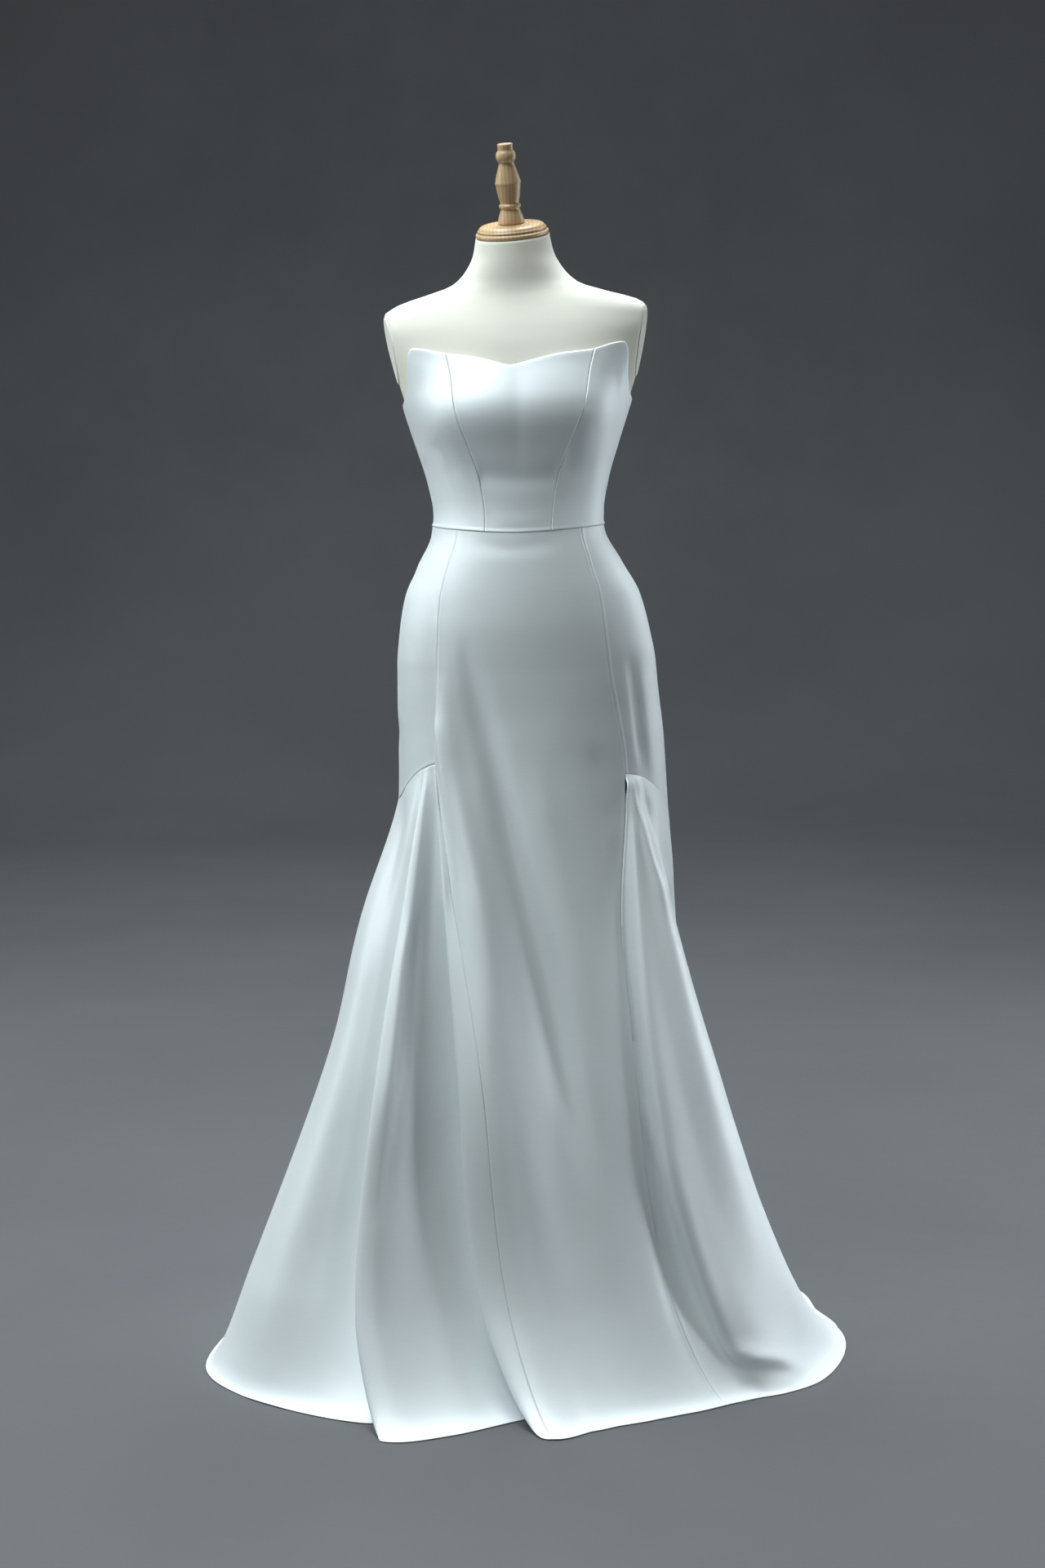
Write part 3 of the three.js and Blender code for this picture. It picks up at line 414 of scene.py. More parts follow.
def bodiceGrid(rightSeam, leftSeam, shares, rowList):
    share, row = np.meshgrid(shares, rowList)
    middle = lerp(rightSeam(stand["waist"]), leftSeam(stand["waist"]), share)
    guess = fittedPoint(middle, lerp(topEdgeHeight(middle), waistSeamHeight(middle), row))[..., 2]
    angle = lerp(rightSeam(guess), leftSeam(guess), share)
    return fittedPoint(angle, lerp(topEdgeHeight(angle), waistSeamHeight(angle), row))


# Cloth walls with their seams, puckers and creases

edgeKinds = {
    "seam": {"dip": 0.2, "reach": 0.9, "pucker": 0.14, "wave": 19, "roll": 0.35, "rollAt": 2.2,
             "rollWide": 1.6},
    "centreBack": {"dip": 0.9, "reach": 1.5, "pucker": 0.3, "wave": 23},
    "waistAbove": {"dip": 0.1, "reach": 0.7, "pucker": 0.12, "wave": 15, "roll": 1.1, "rollAt": 1.9,
                   "rollWide": 1.7},
    "waistBelow": {"dip": 0.12, "reach": 0.9, "pucker": 0.16, "wave": 17},
    "godet": {"dip": 0.2, "reach": 1.1, "pucker": 0.14, "wave": 18, "roll": 0.4, "rollAt": 2.4,
              "rollWide": 1.6},
    "godetFlat": {"dip": 0.2, "reach": 1.2, "pucker": 0.12, "wave": 22},
    "neckline": {"dip": 0.25, "reach": 1.0, "pucker": 0.1, "wave": 26, "roll": 0.15, "rollAt": 5.5,
                 "rollWide": 3},
    "seamLip": {"dip": 0.25, "reach": 1.1, "pucker": 0.12, "wave": 21, "roll": 0.6, "rollAt": 2.2,
                "rollWide": 1.5},
    "hem": {"dip": 0.4, "reach": 1.4, "pucker": 0.25, "wave": 31, "roll": -0.35, "rollAt": 24,
            "rollWide": 1.8},
}


def ripple(s, wave, start):
    turn = 2 * np.pi * s / wave
    return np.sin(turn + 1.3 * np.sin(turn / 3.7 + start)) * (0.55 + 0.45 * np.sin(turn / 6.1 + 2 * start))


def edgeRelief(kind, away, along, start):
    k = edgeKinds[kind]
    out = -k["dip"] * np.exp(-((away / k["reach"]) ** 2))
    out += k["pucker"] * ripple(along, k["wave"], start) * np.exp(-away / 11) * smooth(0, 2.5, away)
    if "roll" in k:
        out += k["roll"] * np.exp(-(((away - k["rollAt"]) / k["rollWide"]) ** 2))
    return out


def lineThrough(knots, count=48):
    knots = np.asarray(knots, float)
    t = np.linspace(0, len(knots) - 1, count)
    i = np.clip(t.astype(int), 0, len(knots) - 2)
    f = (t - i)[:, None]
    padded = np.concatenate([2 * knots[:1] - knots[1:2], knots, 2 * knots[-1:] - knots[-2:-1]])
    a, b, c, d = (padded[i + k] for k in range(4))
    return 0.5 * (2 * b + (c - a) * f + (2 * a - 5 * b + 4 * c - d) * f ** 2 + (3 * b - a - 3 * c + d) * f ** 3)


def creaseRelief(crease, points, normals):
    turn = math.radians(crease.get("seenFrom", 0))
    u = points[..., 0] * math.cos(turn) + points[..., 1] * math.sin(turn)
    facing = normals[..., 0] * math.sin(turn) - normals[..., 1] * math.cos(turn)
    down = math.radians(crease.get("lookDown", 0))  # how far the path is looked down on
    depth = points[..., 0] * math.sin(turn) - points[..., 1] * math.cos(turn)
    v = points[..., 2] * math.cos(down) - depth * math.sin(down)
    facing = facing * math.cos(down) + normals[..., 2] * math.sin(down)
    path = lineThrough(crease["path"])
    best = np.full(u.shape, 1e9)
    share = np.zeros(u.shape)
    lean = np.zeros(u.shape)
    for n in range(len(path) - 1):
        a, b = path[n], path[n + 1]
        along = b - a
        t = np.clip(((u - a[0]) * along[0] + (v - a[1]) * along[1]) / (along @ along), 0, 1)
        du, dz = u - a[0] - t * along[0], v - a[1] - t * along[1]
        away = np.hypot(du, dz)
        closer = away < best
        best = np.where(closer, away, best)
        share = np.where(closer, (n + t) / (len(path) - 1), share)
        lean = np.where(closer, np.sign(along[0] * dz - along[1] * du), lean)
    wideStart, wideEnd = crease["width"]
    width = lerp(wideStart, wideEnd, share) * (1 + crease.get("skew", 0) * lean)
    fadeIn, fadeOut = crease.get("fade", (0.3, 0.3))
    taper = smooth(0, fadeIn, share) * smooth(0, fadeOut, 1 - share)
    return crease["height"] * taper * np.exp(-((best / width) ** 2)) * smooth(0.02, 0.3, facing)


def slackRelief(points, size, amount):
    x, y, z = (points[..., k] / size for k in range(3))
    soft = np.sin(1.7 * x + 0.9 * np.sin(1.1 * z) + 0.4) * np.sin(1.3 * z + 0.8 * np.sin(1.9 * y))
    return amount * (0.65 * soft + 0.35 * np.sin(2.9 * x - 2.1 * y + 1.2 * np.sin(0.8 * z)) * np.sin(2.3 * z + 1))


def directions(points):
    right = np.gradient(points, axis=1)
    under = np.gradient(points, axis=0)
    normal = np.cross(under, right)
    return tuple(v / np.maximum(np.linalg.norm(v, axis=2, keepdims=True), 1e-9) for v in (right, under,
                                                                                          normal))


def lengthAlong(points, axis):
    steps = np.cumsum(np.linalg.norm(np.diff(points, axis=axis), axis=2), axis)
    return np.concatenate([np.zeros_like(steps[:1] if axis == 0 else steps[:, :1]), steps], axis)


def clothWall(name, points, edges, creases=(), slack=(), floor=False):
    right, under, normal = directions(points)
    across, down = lengthAlong(points, 1), lengthAlong(points, 0)
    height = points[..., 2]
    rowCount, wide = height.shape
    roundForm = np.degrees(np.arctan2(points[..., 0], -points[..., 1])) * cloth["perDegree"]
    away = {"start": across, "end": across[:, -1:] - across, "top": down, "bottom": down[-1:] - down}
    relief = np.zeros(height.shape)
    for side, kind in edges.items():
        upright = side in ("start", "end")
        relief += edgeRelief(kind, away[side], height if upright else roundForm, 0.7 if upright else 1.9)
    for size, amount in slack:
        relief += slackRelief(points, size, amount)
    for crease in creases:
        relief += creaseRelief(crease, points, normal)
    outer = points + normal * relief[..., None]
    outer[:, 0] += right[:, 0] * cloth["between"] / 2
    outer[:, -1] -= right[:, -1] * cloth["between"] / 2
    if edges.get("top") != "neckline":
        outer[0] += under[0] * cloth["between"] / 2
    if edges.get("bottom") != "hem":
        outer[-1] -= under[-1] * cloth["between"] / 2
    if floor:
        outer[..., 2] = np.maximum(cloth["thick"] * 0.9, outer[..., 2])
    _, _, facing = directions(outer)
    inner = outer - facing * cloth["shown"]
    if floor:
        inner[..., 2] = np.maximum(cloth["underside"], inner[..., 2])
    quads = ringQuads(wide, rowCount, closed=False)
    out = quads[:, [0, 3, 2, 1]]
    ins = quads + rowCount * wide
    dipShade = np.concatenate([np.arange(wide), wide - 1 + wide * np.arange(1, rowCount),
                           (rowCount - 1) * wide + np.arange(wide - 2, -1, -1),
                           wide * np.arange(rowCount - 2, 0, -1)])
    middle = (outer.reshape(-1, 3)[dipShade] + inner.reshape(-1, 3)[dipShade]) / 2
    outward = np.zeros(outer.shape)
    outward[0] -= under[0]
    outward[-1] += under[-1]
    outward[:, 0] -= right[:, 0]
    outward[:, -1] += right[:, -1]
    rim = middle + outward.reshape(-1, 3)[dipShade] * (cloth["between"] / 3)
    free = np.zeros(outer.shape[:2])
    if edges.get("bottom") == "hem":
        free[-1] = cloth["freeEdge"]
    if edges.get("top") == "neckline":
        free[0] = cloth["freeEdge"]
    rim += outward.reshape(-1, 3)[dipShade] * free.reshape(-1)[dipShade][:, None]
    if floor:
        rim[:, 2] = np.maximum(cloth["rimLow"], rim[:, 2])
    base = 2 * rowCount * wide
    k = np.arange(len(dipShade))
    n = (k + 1) % len(dipShade)
    toOuter = np.stack([dipShade[k], dipShade[n], base + n, base + k], -1)
    toInner = np.stack([base + k, base + n, dipShade[n] + rowCount * wide, dipShade[k] + rowCount * wide], -1)
    every = np.concatenate([outer.reshape(-1, 3), inner.reshape(-1, 3), rim])
    grain = np.stack([across, -down], -1).reshape(-1, 2)
    uv = np.concatenate([grain, grain, grain[dipShade]])
    return meshFrom(name, every, np.concatenate([out, ins, toOuter, toInner]), uv)


def fineSteps(start, end, count, edge):
    edge = np.asarray(edge)
    return np.concatenate([[start], start + edge[:-1],
                           np.linspace(start + edge[-1], end - edge[-1], count + 1),
                           (end - edge[:-1])[::-1], [end]])


# Finishes

def socketGroup(name, inputs, outputs):
    group = bpy.data.node_groups.new(name, "ShaderNodeTree")
    for label, kind, value in inputs:
        made = group.interface.new_socket(name=label, in_out="INPUT", socket_type="NodeSocket" + kind)
        made.default_value = value
    for label, kind in outputs:
        group.interface.new_socket(name=label, in_out="OUTPUT", socket_type="NodeSocket" + kind)
    return group, group.nodes.new("NodeGroupInput"), group.nodes.new("NodeGroupOutput")


def maths(tree, operation, *values):
    node = tree.nodes.new("ShaderNodeMath")
    node.operation = operation
    for k, value in enumerate(values):
        if isinstance(value, (int, float)):
            node.inputs[k].default_value = value
        else:
            tree.links.new(value, node.inputs[k])
    return node.outputs[0]


def noiseAt(tree, vector, scale, detail=3.0, rough=0.5):
    node = tree.nodes.new("ShaderNodeTexNoise")
    node.inputs["Detail"].default_value = detail
    node.inputs["Roughness"].default_value = rough
    if isinstance(scale, (int, float)):
        node.inputs["Scale"].default_value = scale
    else:
        tree.links.new(scale, node.inputs["Scale"])
    tree.links.new(vector, node.inputs["Vector"])
    return node.outputs["Fac"]


def stretched(tree, vector, factors):
    node = tree.nodes.new("ShaderNodeMapping")
    node.inputs["Scale"].default_value = factors
    tree.links.new(vector, node.inputs["Vector"])
    return node.outputs["Vector"]


def mixColour(tree, mask, first, second):
    node = tree.nodes.new("ShaderNodeMix")
    node.data_type = "RGBA"
    tree.links.new(mask, node.inputs["Factor"])
    for socket, value in ((node.inputs[6], first), (node.inputs[7], second)):
        if isinstance(value, tuple):
            socket.default_value = value
        else:
            tree.links.new(value, socket)
    return node.outputs[2]


def rangeOf(tree, value, low, high, toLow, toHigh):
    node = tree.nodes.new("ShaderNodeMapRange")
    for socket, given in zip(node.inputs, (value, low, high, toLow, toHigh)):
        if isinstance(given, (int, float)):
            socket.default_value = given
        else:
            tree.links.new(given, socket)
    return node.outputs["Result"]


def makeThreadWeave():
    # Threads crossing at a pitch, with long floats and slubs. The vector is in metres along the cloth.
    tree, take, give = socketGroup("threadWeave",
        [("Cloth Vector", "Vector", (0, 0, 0)), ("Threads per Metre", "Float", 2500),
         ("Slub Stretch", "Float", 30)],
        [("Thread Height", "Float"), ("Slubs", "Float")])
    split = tree.nodes.new("ShaderNodeSeparateXYZ")
    tree.links.new(take.outputs["Cloth Vector"], split.inputs[0])
    turns = maths(tree, "MULTIPLY", take.outputs["Threads per Metre"], 2 * math.pi)
    warp = maths(tree, "SINE", maths(tree, "MULTIPLY", split.outputs["X"], turns))
    weft = maths(tree, "SINE", maths(tree, "MULTIPLY", split.outputs["Y"], turns))
    crossed = maths(tree, "MULTIPLY", warp, weft)
    tree.links.new(rangeOf(tree, crossed, -1, 1, 0, 1), give.inputs["Thread Height"])
    join = tree.nodes.new("ShaderNodeCombineXYZ")
    tree.links.new(maths(tree, "MULTIPLY", split.outputs["X"], take.outputs["Slub Stretch"]),
                   join.inputs["X"])
    tree.links.new(maths(tree, "MULTIPLY", split.outputs["Y"], 900), join.inputs["Y"])
    tree.links.new(noiseAt(tree, join.outputs[0], 1.0, 2.0, 0.6), give.inputs["Slubs"])
    return tree


def makeCloudedTone():
    # Soft patches between two tones, as light handling and dye leave.
    tree, take, give = socketGroup("cloudedTone",
        [("Place", "Vector", (0, 0, 0)), ("First Tone", "Color", (1, 1, 1, 1)),
         ("Second Tone", "Color", (0.9, 0.9, 0.9, 1)),
         ("Patches per Metre", "Float", 5)],
        [("Tone", "Color"), ("Patches", "Float")])
    patches = noiseAt(tree, take.outputs["Place"], take.outputs["Patches per Metre"], 4.0, 0.55)
    mask = rangeOf(tree, patches, 0.35, 0.68, 0, 1)
    tree.links.new(mixColour(tree, mask, take.outputs["First Tone"], take.outputs["Second Tone"]),
                   give.inputs["Tone"])
    tree.links.new(mask, give.inputs["Patches"])
    return tree


def makeHandWear():
    # Fine rub marks and a little dust, which change the gloss.
    tree, take, give = socketGroup("handWear",
        [("Place", "Vector", (0, 0, 0)), ("Clean Roughness", "Float", 0.4),
         ("Worn Roughness", "Float", 0.6),
         ("Marks per Metre", "Float", 60)],
        [("Worn Gloss", "Float"), ("Marks", "Float")])
    marks = noiseAt(tree, take.outputs["Place"], take.outputs["Marks per Metre"], 6.0, 0.65)
    mask = rangeOf(tree, marks, 0.42, 0.66, 0, 1)
    tree.links.new(rangeOf(tree, mask, 0, 1, take.outputs["Clean Roughness"],
                           take.outputs["Worn Roughness"]),
                   give.inputs["Worn Gloss"])
    tree.links.new(mask, give.inputs["Marks"])
    return tree


def makeTurnedGrain():
    # Growth rings cut across by the lathe, with short dark rays.
    tree, take, give = socketGroup("turnedGrain",
        [("Place", "Vector", (0, 0, 0)), ("Early Wood", "Color", (0.8, 0.6, 0.4, 1)),
         ("Late Wood", "Color", (0.6, 0.4, 0.2, 1)),
         ("Rings per Metre", "Float", 240), ("Ray Amount", "Float", 0.35)],
        [("Wood Tone", "Color"), ("Grain", "Float")])
    bent = tree.nodes.new("ShaderNodeVectorMath")
    bent.operation = "ADD"
    wander = tree.nodes.new("ShaderNodeTexNoise")
    wander.inputs["Scale"].default_value = 14
    tree.links.new(stretched(tree, take.outputs["Place"], (1, 1, 0.25)), wander.inputs["Vector"])
    shift = tree.nodes.new("ShaderNodeVectorMath")
    shift.operation = "SCALE"
    shift.inputs["Scale"].default_value = 0.02
    tree.links.new(wander.outputs["Color"], shift.inputs[0])
    tree.links.new(take.outputs["Place"], bent.inputs[0])
    tree.links.new(shift.outputs[0], bent.inputs[1])
    split = tree.nodes.new("ShaderNodeSeparateXYZ")
    tree.links.new(bent.outputs[0], split.inputs[0])
    tilted = maths(tree, "ADD", split.outputs["X"], maths(tree, "MULTIPLY", split.outputs["Z"], 0.06))
    turns = maths(tree, "MULTIPLY", take.outputs["Rings per Metre"], 2 * math.pi)
    rings = maths(tree, "SINE", maths(tree, "MULTIPLY", tilted, turns))
    rays = noiseAt(tree, stretched(tree, take.outputs["Place"], (900, 900, 60)), 1.0, 2.0, 0.5)
    flecks = maths(tree, "MULTIPLY", rangeOf(tree, rays, 0.5, 0.72, 0, 1), take.outputs["Ray Amount"])
    grain = maths(tree, "MAXIMUM", rangeOf(tree, rings, -0.4, 1, 0, 0.8), flecks)
    tree.links.new(mixColour(tree, grain, take.outputs["Early Wood"], take.outputs["Late Wood"]),
                   give.inputs["Wood Tone"])
    tree.links.new(grain, give.inputs["Grain"])
    return tree


threadWeave = makeThreadWeave()
cloudedTone = makeCloudedTone()
handWear = makeHandWear()
turnedGrain = makeTurnedGrain()


def newFinish(name, shader):
    finish = bpy.data.materials.new(name)
    finish.use_nodes = True
    tree = finish.node_tree
    surface = tree.nodes["Principled BSDF"]
    for label, value in shader.items():
        surface.inputs[label].default_value = value
    place = tree.nodes.new("ShaderNodeTexCoord")
    return finish, tree, surface, place


def groupNode(tree, group, values, links):
    node = tree.nodes.new("ShaderNodeGroup")
    node.node_tree = group
    for label, value in values.items():
        node.inputs[label].default_value = value
    for label, source in links.items():
        tree.links.new(source, node.inputs[label])
    return node


def bumpInto(tree, surface, layers):
    # Bumps in a chain. Each layer is a height with its strength and its depth in metres.
    last = None
    for height, strength, depth in layers:
        node = tree.nodes.new("ShaderNodeBump")
        node.inputs["Strength"].default_value = strength
        node.inputs["Distance"].default_value = depth
        tree.links.new(height, node.inputs["Height"])
        if last:
            tree.links.new(last, node.inputs["Normal"])
        last = node.outputs["Normal"]
    tree.links.new(last, surface.inputs["Normal"])


def weaveNode(tree, place, look):
    return groupNode(tree, threadWeave,
                     {"Threads per Metre": look["threads"], "Slub Stretch": look["slubStretch"]},
                     {"Cloth Vector": place.outputs["UV"]})


def toneNode(tree, place, look):
    return groupNode(tree, cloudedTone, {"First Tone": look["first"], "Second Tone": look["second"],
                                         "Patches per Metre": look["patches"]},
                     {"Place": place.outputs["Object"]})


def wearNode(tree, place, look):
    return groupNode(tree, handWear, {"Clean Roughness": look["clean"], "Worn Roughness": look["worn"],
                                      "Marks per Metre": look["marks"]}, {"Place": place.outputs["Object"]})


satinLook = {"first": (0.845, 0.880, 0.895, 1), "second": (0.815, 0.850, 0.862, 1),
             "slub": (0.775, 0.805, 0.815, 1), "patches": 3.5, "threads": 3200,
             "slubStretch": 34, "clean": 0.5, "worn": 0.56, "marks": 22}


def makeSatin():
    finish, tree, surface, place = newFinish("bridalSatin", {
        "Metallic": 0.3, "Specular IOR Level": 0.5, "Sheen Weight": 0.15, "Sheen Roughness": 0.42})
    weave = weaveNode(tree, place, satinLook)
    tone = toneNode(tree, place, satinLook)
    wear = wearNode(tree, place, satinLook)
    shaded = mixColour(tree, rangeOf(tree, weave.outputs["Slubs"], 0.3, 0.75, 0, 0.35),
                       tone.outputs["Tone"],
                       satinLook["slub"])
    tree.links.new(shaded, surface.inputs["Base Color"])
    tree.links.new(rangeOf(tree, weave.outputs["Slubs"], 0.3, 0.7, wear.outputs["Worn Gloss"], 0.62),
                   surface.inputs["Roughness"])
    bumpInto(tree, surface, [(weave.outputs["Thread Height"], 0.25, 0.00004),
                             (weave.outputs["Slubs"], 0.3, 0.00006)])
    return finish


# The third jersey tone is painted shade for the dips between the knit threads.
jerseyLook = {"first": (0.87, 0.84, 0.75, 1), "second": (0.82, 0.785, 0.685, 1),
              "dipShade": (0.74, 0.69, 0.57, 1), "patches": 7, "threads": 1100,
              "slubStretch": 160, "clean": 0.78, "worn": 0.9, "marks": 35}


def makeJersey():
    finish, tree, surface, place = newFinish("formJersey", {
        "Specular IOR Level": 0.35, "Sheen Weight": 0.3, "Sheen Roughness": 0.55})
    weave = weaveNode(tree, place, jerseyLook)
    tone = toneNode(tree, place, jerseyLook)
    wear = wearNode(tree, place, jerseyLook)
    # Painted shade: the lower the thread height, the more the colour is mixed towards the darker dip tone.
    knitWithDipShade = mixColour(tree, rangeOf(tree, weave.outputs["Thread Height"], 0, 1, 0.22, 0),
                     tone.outputs["Tone"],
                     jerseyLook["dipShade"])
    tree.links.new(knitWithDipShade, surface.inputs["Base Color"])
    tree.links.new(wear.outputs["Worn Gloss"], surface.inputs["Roughness"])
    bumpInto(tree, surface, [(weave.outputs["Thread Height"], 0.5, 0.00022),
                             (weave.outputs["Slubs"], 0.3, 0.00012)])
    return finish


beechLook = {"early": (0.62, 0.43, 0.245, 1), "late": (0.50, 0.315, 0.155, 1), "rings": 190, "rays": 0.4,
             "clean": 0.34, "worn": 0.46, "marks": 90}
standLook = {"early": (0.52, 0.345, 0.19, 1), "late": (0.37, 0.225, 0.11, 1), "rings": 130, "rays": 0.5,
             "clean": 0.42, "worn": 0.6, "marks": 40}


def makeWood(name, look, coat):
    finish, tree, surface, place = newFinish(name, {
        "Specular IOR Level": 0.5, "Coat Weight": coat, "Coat Roughness": 0.22})
    grain = groupNode(tree, turnedGrain, {"Early Wood": look["early"], "Late Wood": look["late"],
                                          "Rings per Metre": look["rings"], "Ray Amount": look["rays"]},
                      {"Place": place.outputs["Object"]})
    wear = wearNode(tree, place, look)
    tree.links.new(grain.outputs["Wood Tone"], surface.inputs["Base Color"])
    tree.links.new(wear.outputs["Worn Gloss"], surface.inputs["Roughness"])
    bumpInto(tree, surface, [(grain.outputs["Grain"], 0.25, 0.00012),
                             (wear.outputs["Marks"], 0.12, 0.0001)])
    return finish


zipLook = {"first": (0.72, 0.73, 0.74, 1), "second": (0.60, 0.61, 0.62, 1), "patches": 300, "clean": 0.26,
           "worn": 0.44,
           "marks": 900}


def makeZipMetal():
    finish, tree, surface, place = newFinish("zipMetal", {"Metallic": 1.0})
    tone = toneNode(tree, place, zipLook)
    wear = wearNode(tree, place, zipLook)
    tree.links.new(tone.outputs["Tone"], surface.inputs["Base Color"])
    tree.links.new(wear.outputs["Worn Gloss"], surface.inputs["Roughness"])
    bumpInto(tree, surface, [(wear.outputs["Marks"], 0.2, 0.00003)])
    return finish


floorLook = {"first": (0.115, 0.115, 0.12, 1), "second": (0.1, 0.1, 0.106, 1), "patches": 0.8, "clean": 0.7,
             "worn": 0.8,
             "marks": 4}


def makeFloorPaint():
    finish, tree, surface, place = newFinish("studioPaint", {"Specular IOR Level": 0.3})
    tone = toneNode(tree, place, floorLook)
    wear = wearNode(tree, place, floorLook)
    tree.links.new(tone.outputs["Tone"], surface.inputs["Base Color"])
    tree.links.new(wear.outputs["Worn Gloss"], surface.inputs["Roughness"])
    return finish


satin = makeSatin()
jersey = makeJersey()
beech = makeWood("turnedBeech", beechLook, 0.25)
standWood = makeWood("standWood", standLook, 0.15)
zipMetal = makeZipMetal()
floorPaint = makeFloorPaint()
print("finishes are mixed")


def layFloor():
    bend = [(studio["wallAt"] - studio["bend"] + studio["bend"] * math.sin(a),
             studio["bend"] * (1 - math.cos(a)))
            for a in np.linspace(0, math.pi / 2, 18)]
    profile = [(-studio["side"], 0)] + bend + [(studio["wallAt"], studio["tall"])]
    points = [(x, y, z) for y, z in profile for x in (-studio["side"], studio["side"])]
    sweep = meshFrom("studioFloor", np.array(points) / mm - [0, 0, 0.2],
                     ringQuads(2, len(profile), closed=False))
    sweep.data.materials.append(floorPaint)


layFloor()


def settle(piece, finish, nodes, bodyName="dress"):
    piece.data.materials.append(finish)
    if nodes:
        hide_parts(*nodes)
    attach(piece, bodyName)
    return piece


# The padded form

form = {"columns": 168, "rowStep": 5.0, "neckTilt": math.radians(16), "neckRoll": math.radians(3.2),
        "tiltFrom": 1470,
        "neckTop": 1543, "softEdge": 1.1, "softReach": 12, "radius": 165,
        "footShares": (0.02, 0.5, 0.96, 0.992),
        "footLift": 0.4, "footRow": 1.6, "crownShares": (0.985, 0.95, 0.5, 0.02)}
armhole = {"top": 1440, "topX": 181, "bottom": 1310, "bottomX": 158, "middle": 3.8, "turn": math.radians(8),
           "coverThick": 1.3, "coverInset": 3.2, "sides": 96, "below": 64, "reach": 160.0, "halvings": 24,
           "evened": 7}


def torsoPoint(angle, z):
    point = ovalPoint(body, angle, z, 0, bustReach(angle, z, False))
    share = np.maximum(0, (z - form["tiltFrom"]) / (form["neckTop"] - form["tiltFrom"]))
    aside = point[..., 0] - body["middle"](z)
    tilt = point[..., 1] * math.tan(form["neckTilt"]) + aside * math.tan(form["neckRoll"])
    point[..., 2] += tilt * share * share
    return leaned(point)


def armholePlane(side):
    slant = math.atan((armhole["topX"] - armhole["bottomX"]) / (armhole["top"] - armhole["bottom"]))
    c, s, t = math.cos(slant), math.sin(slant), armhole["turn"]
    normal = np.array([side * c * math.cos(t), -c * math.sin(t), -s])
    at = leaned(np.array([side * armhole["topX"] + armhole["middle"], 0, armhole["top"]]))
    tip = leaned(at + normal) - leaned(at)
    return at, tip / np.linalg.norm(tip)


def makeTorso():
    angle = np.linspace(-180, 180, form["columns"] + 1)[:-1]
    heights = np.linspace(stand["foot"], form["neckTop"],
                          int((form["neckTop"] - stand["foot"]) / form["rowStep"]) + 1)
    points = torsoPoint(angle[None], heights[:, None])
    for side in (-1, 1):
        at, normal = armholePlane(side)
        off = (points - at) @ normal
        soft = form["softEdge"]
        near = off > -form["softReach"] * soft
        held = np.where(near, -soft * np.log1p(np.exp(np.clip(-off / soft, -40, 40))), off)
        points = points - normal * (off - held)[..., None] * near[..., None]
    low = points[0]
    middle = low.mean(0)
    foot = [middle + (low - middle) * share for share in form["footShares"]]
    foot[-1] = foot[-1] + [0, 0, form["footLift"]]
    neck = points[-1]
    top = neck.mean(0)
    crown = [top + (neck - top) * share for share in form["crownShares"]]
    stacked = np.concatenate([np.stack(foot), points[:1] + [0, 0, form["footRow"]], points[1:],
                              np.stack(crown)])
    across = np.radians(angle) * form["radius"]
    lengths = np.stack(np.broadcast_arrays(across[None], stacked[..., 2]), -1).reshape(-1, 2)
    quads = closedQuads(form["columns"], len(stacked))
    torso = meshFrom("form_jersey_torso", stacked.reshape(-1, 3), quads, lengths)
    return settle(torso, jersey, ["form_torso"])


def insideTorso(p):
    up = p[..., 2] - stand["waist"]
    c, s = math.cos(stand["lean"]), math.sin(stand["lean"])
    x, z = p[..., 0] * c + up * s, stand["waist"] - p[..., 0] * s + up * c
    depth = np.where(p[..., 1] < 0, body["front"](z), body["back"](z))
    return np.hypot((x - body["middle"](z)) / body["half"](z), p[..., 1] / depth) < 1


def makeArmholeCover(side):
    at, normal = armholePlane(side)
    upright = np.array([0, 0, 1.0]) - normal * normal[2]
    upright /= np.linalg.norm(upright)
    sideways = np.cross(upright, normal)
    sides, spread = armhole["sides"], armhole["evened"] // 2
    turns = np.linspace(0, 2 * np.pi, sides + 1)[:-1]
    spokes = np.cos(turns)[:, None] * sideways + np.sin(turns)[:, None] * upright
    centre = at - upright * armhole["below"]
    inner, outer = np.zeros(sides), np.full(sides, armhole["reach"])
    for _ in range(armhole["halvings"]):  # closes in on the form's edge along each spoke
        half = (inner + outer) / 2
        within = insideTorso(centre + spokes * half[:, None])
        inner, outer = np.where(within, half, inner), np.where(within, outer, half)
    ringed = np.concatenate([inner[-spread:], inner, inner[:spread]])
    reach = np.convolve(ringed, np.ones(armhole["evened"]) / armhole["evened"],
                        "valid") - armhole["coverInset"]
    lift = armhole["coverThick"]
    profile = [(0.02, lift), (0.5, lift), (0.9, lift), (0.97, lift * 0.97), (0.992, lift * 0.75),
               (1.0, lift * 0.3),
               (1.0, -0.6), (0.9, -0.9), (0.02, -0.9)]
    rings = [centre + spokes * (reach * share)[:, None] + normal * out for share, out in profile]
    points = np.stack(rings)
    across = np.stack([(points - centre) @ sideways, (points - centre) @ upright], -1).reshape(-1, 2)
    name = "form_armhole_cover_" + ("left" if side > 0 else "right")
    cover = meshFrom(name, points.reshape(-1, 3), closedQuads(sides, len(profile)), across)
    return settle(cover, jersey, [])


torsoPiece = makeTorso()
makeArmholeCover(-1)
makeArmholeCover(1)
print("padded form stands")


# Turned wood on the neck and under the form

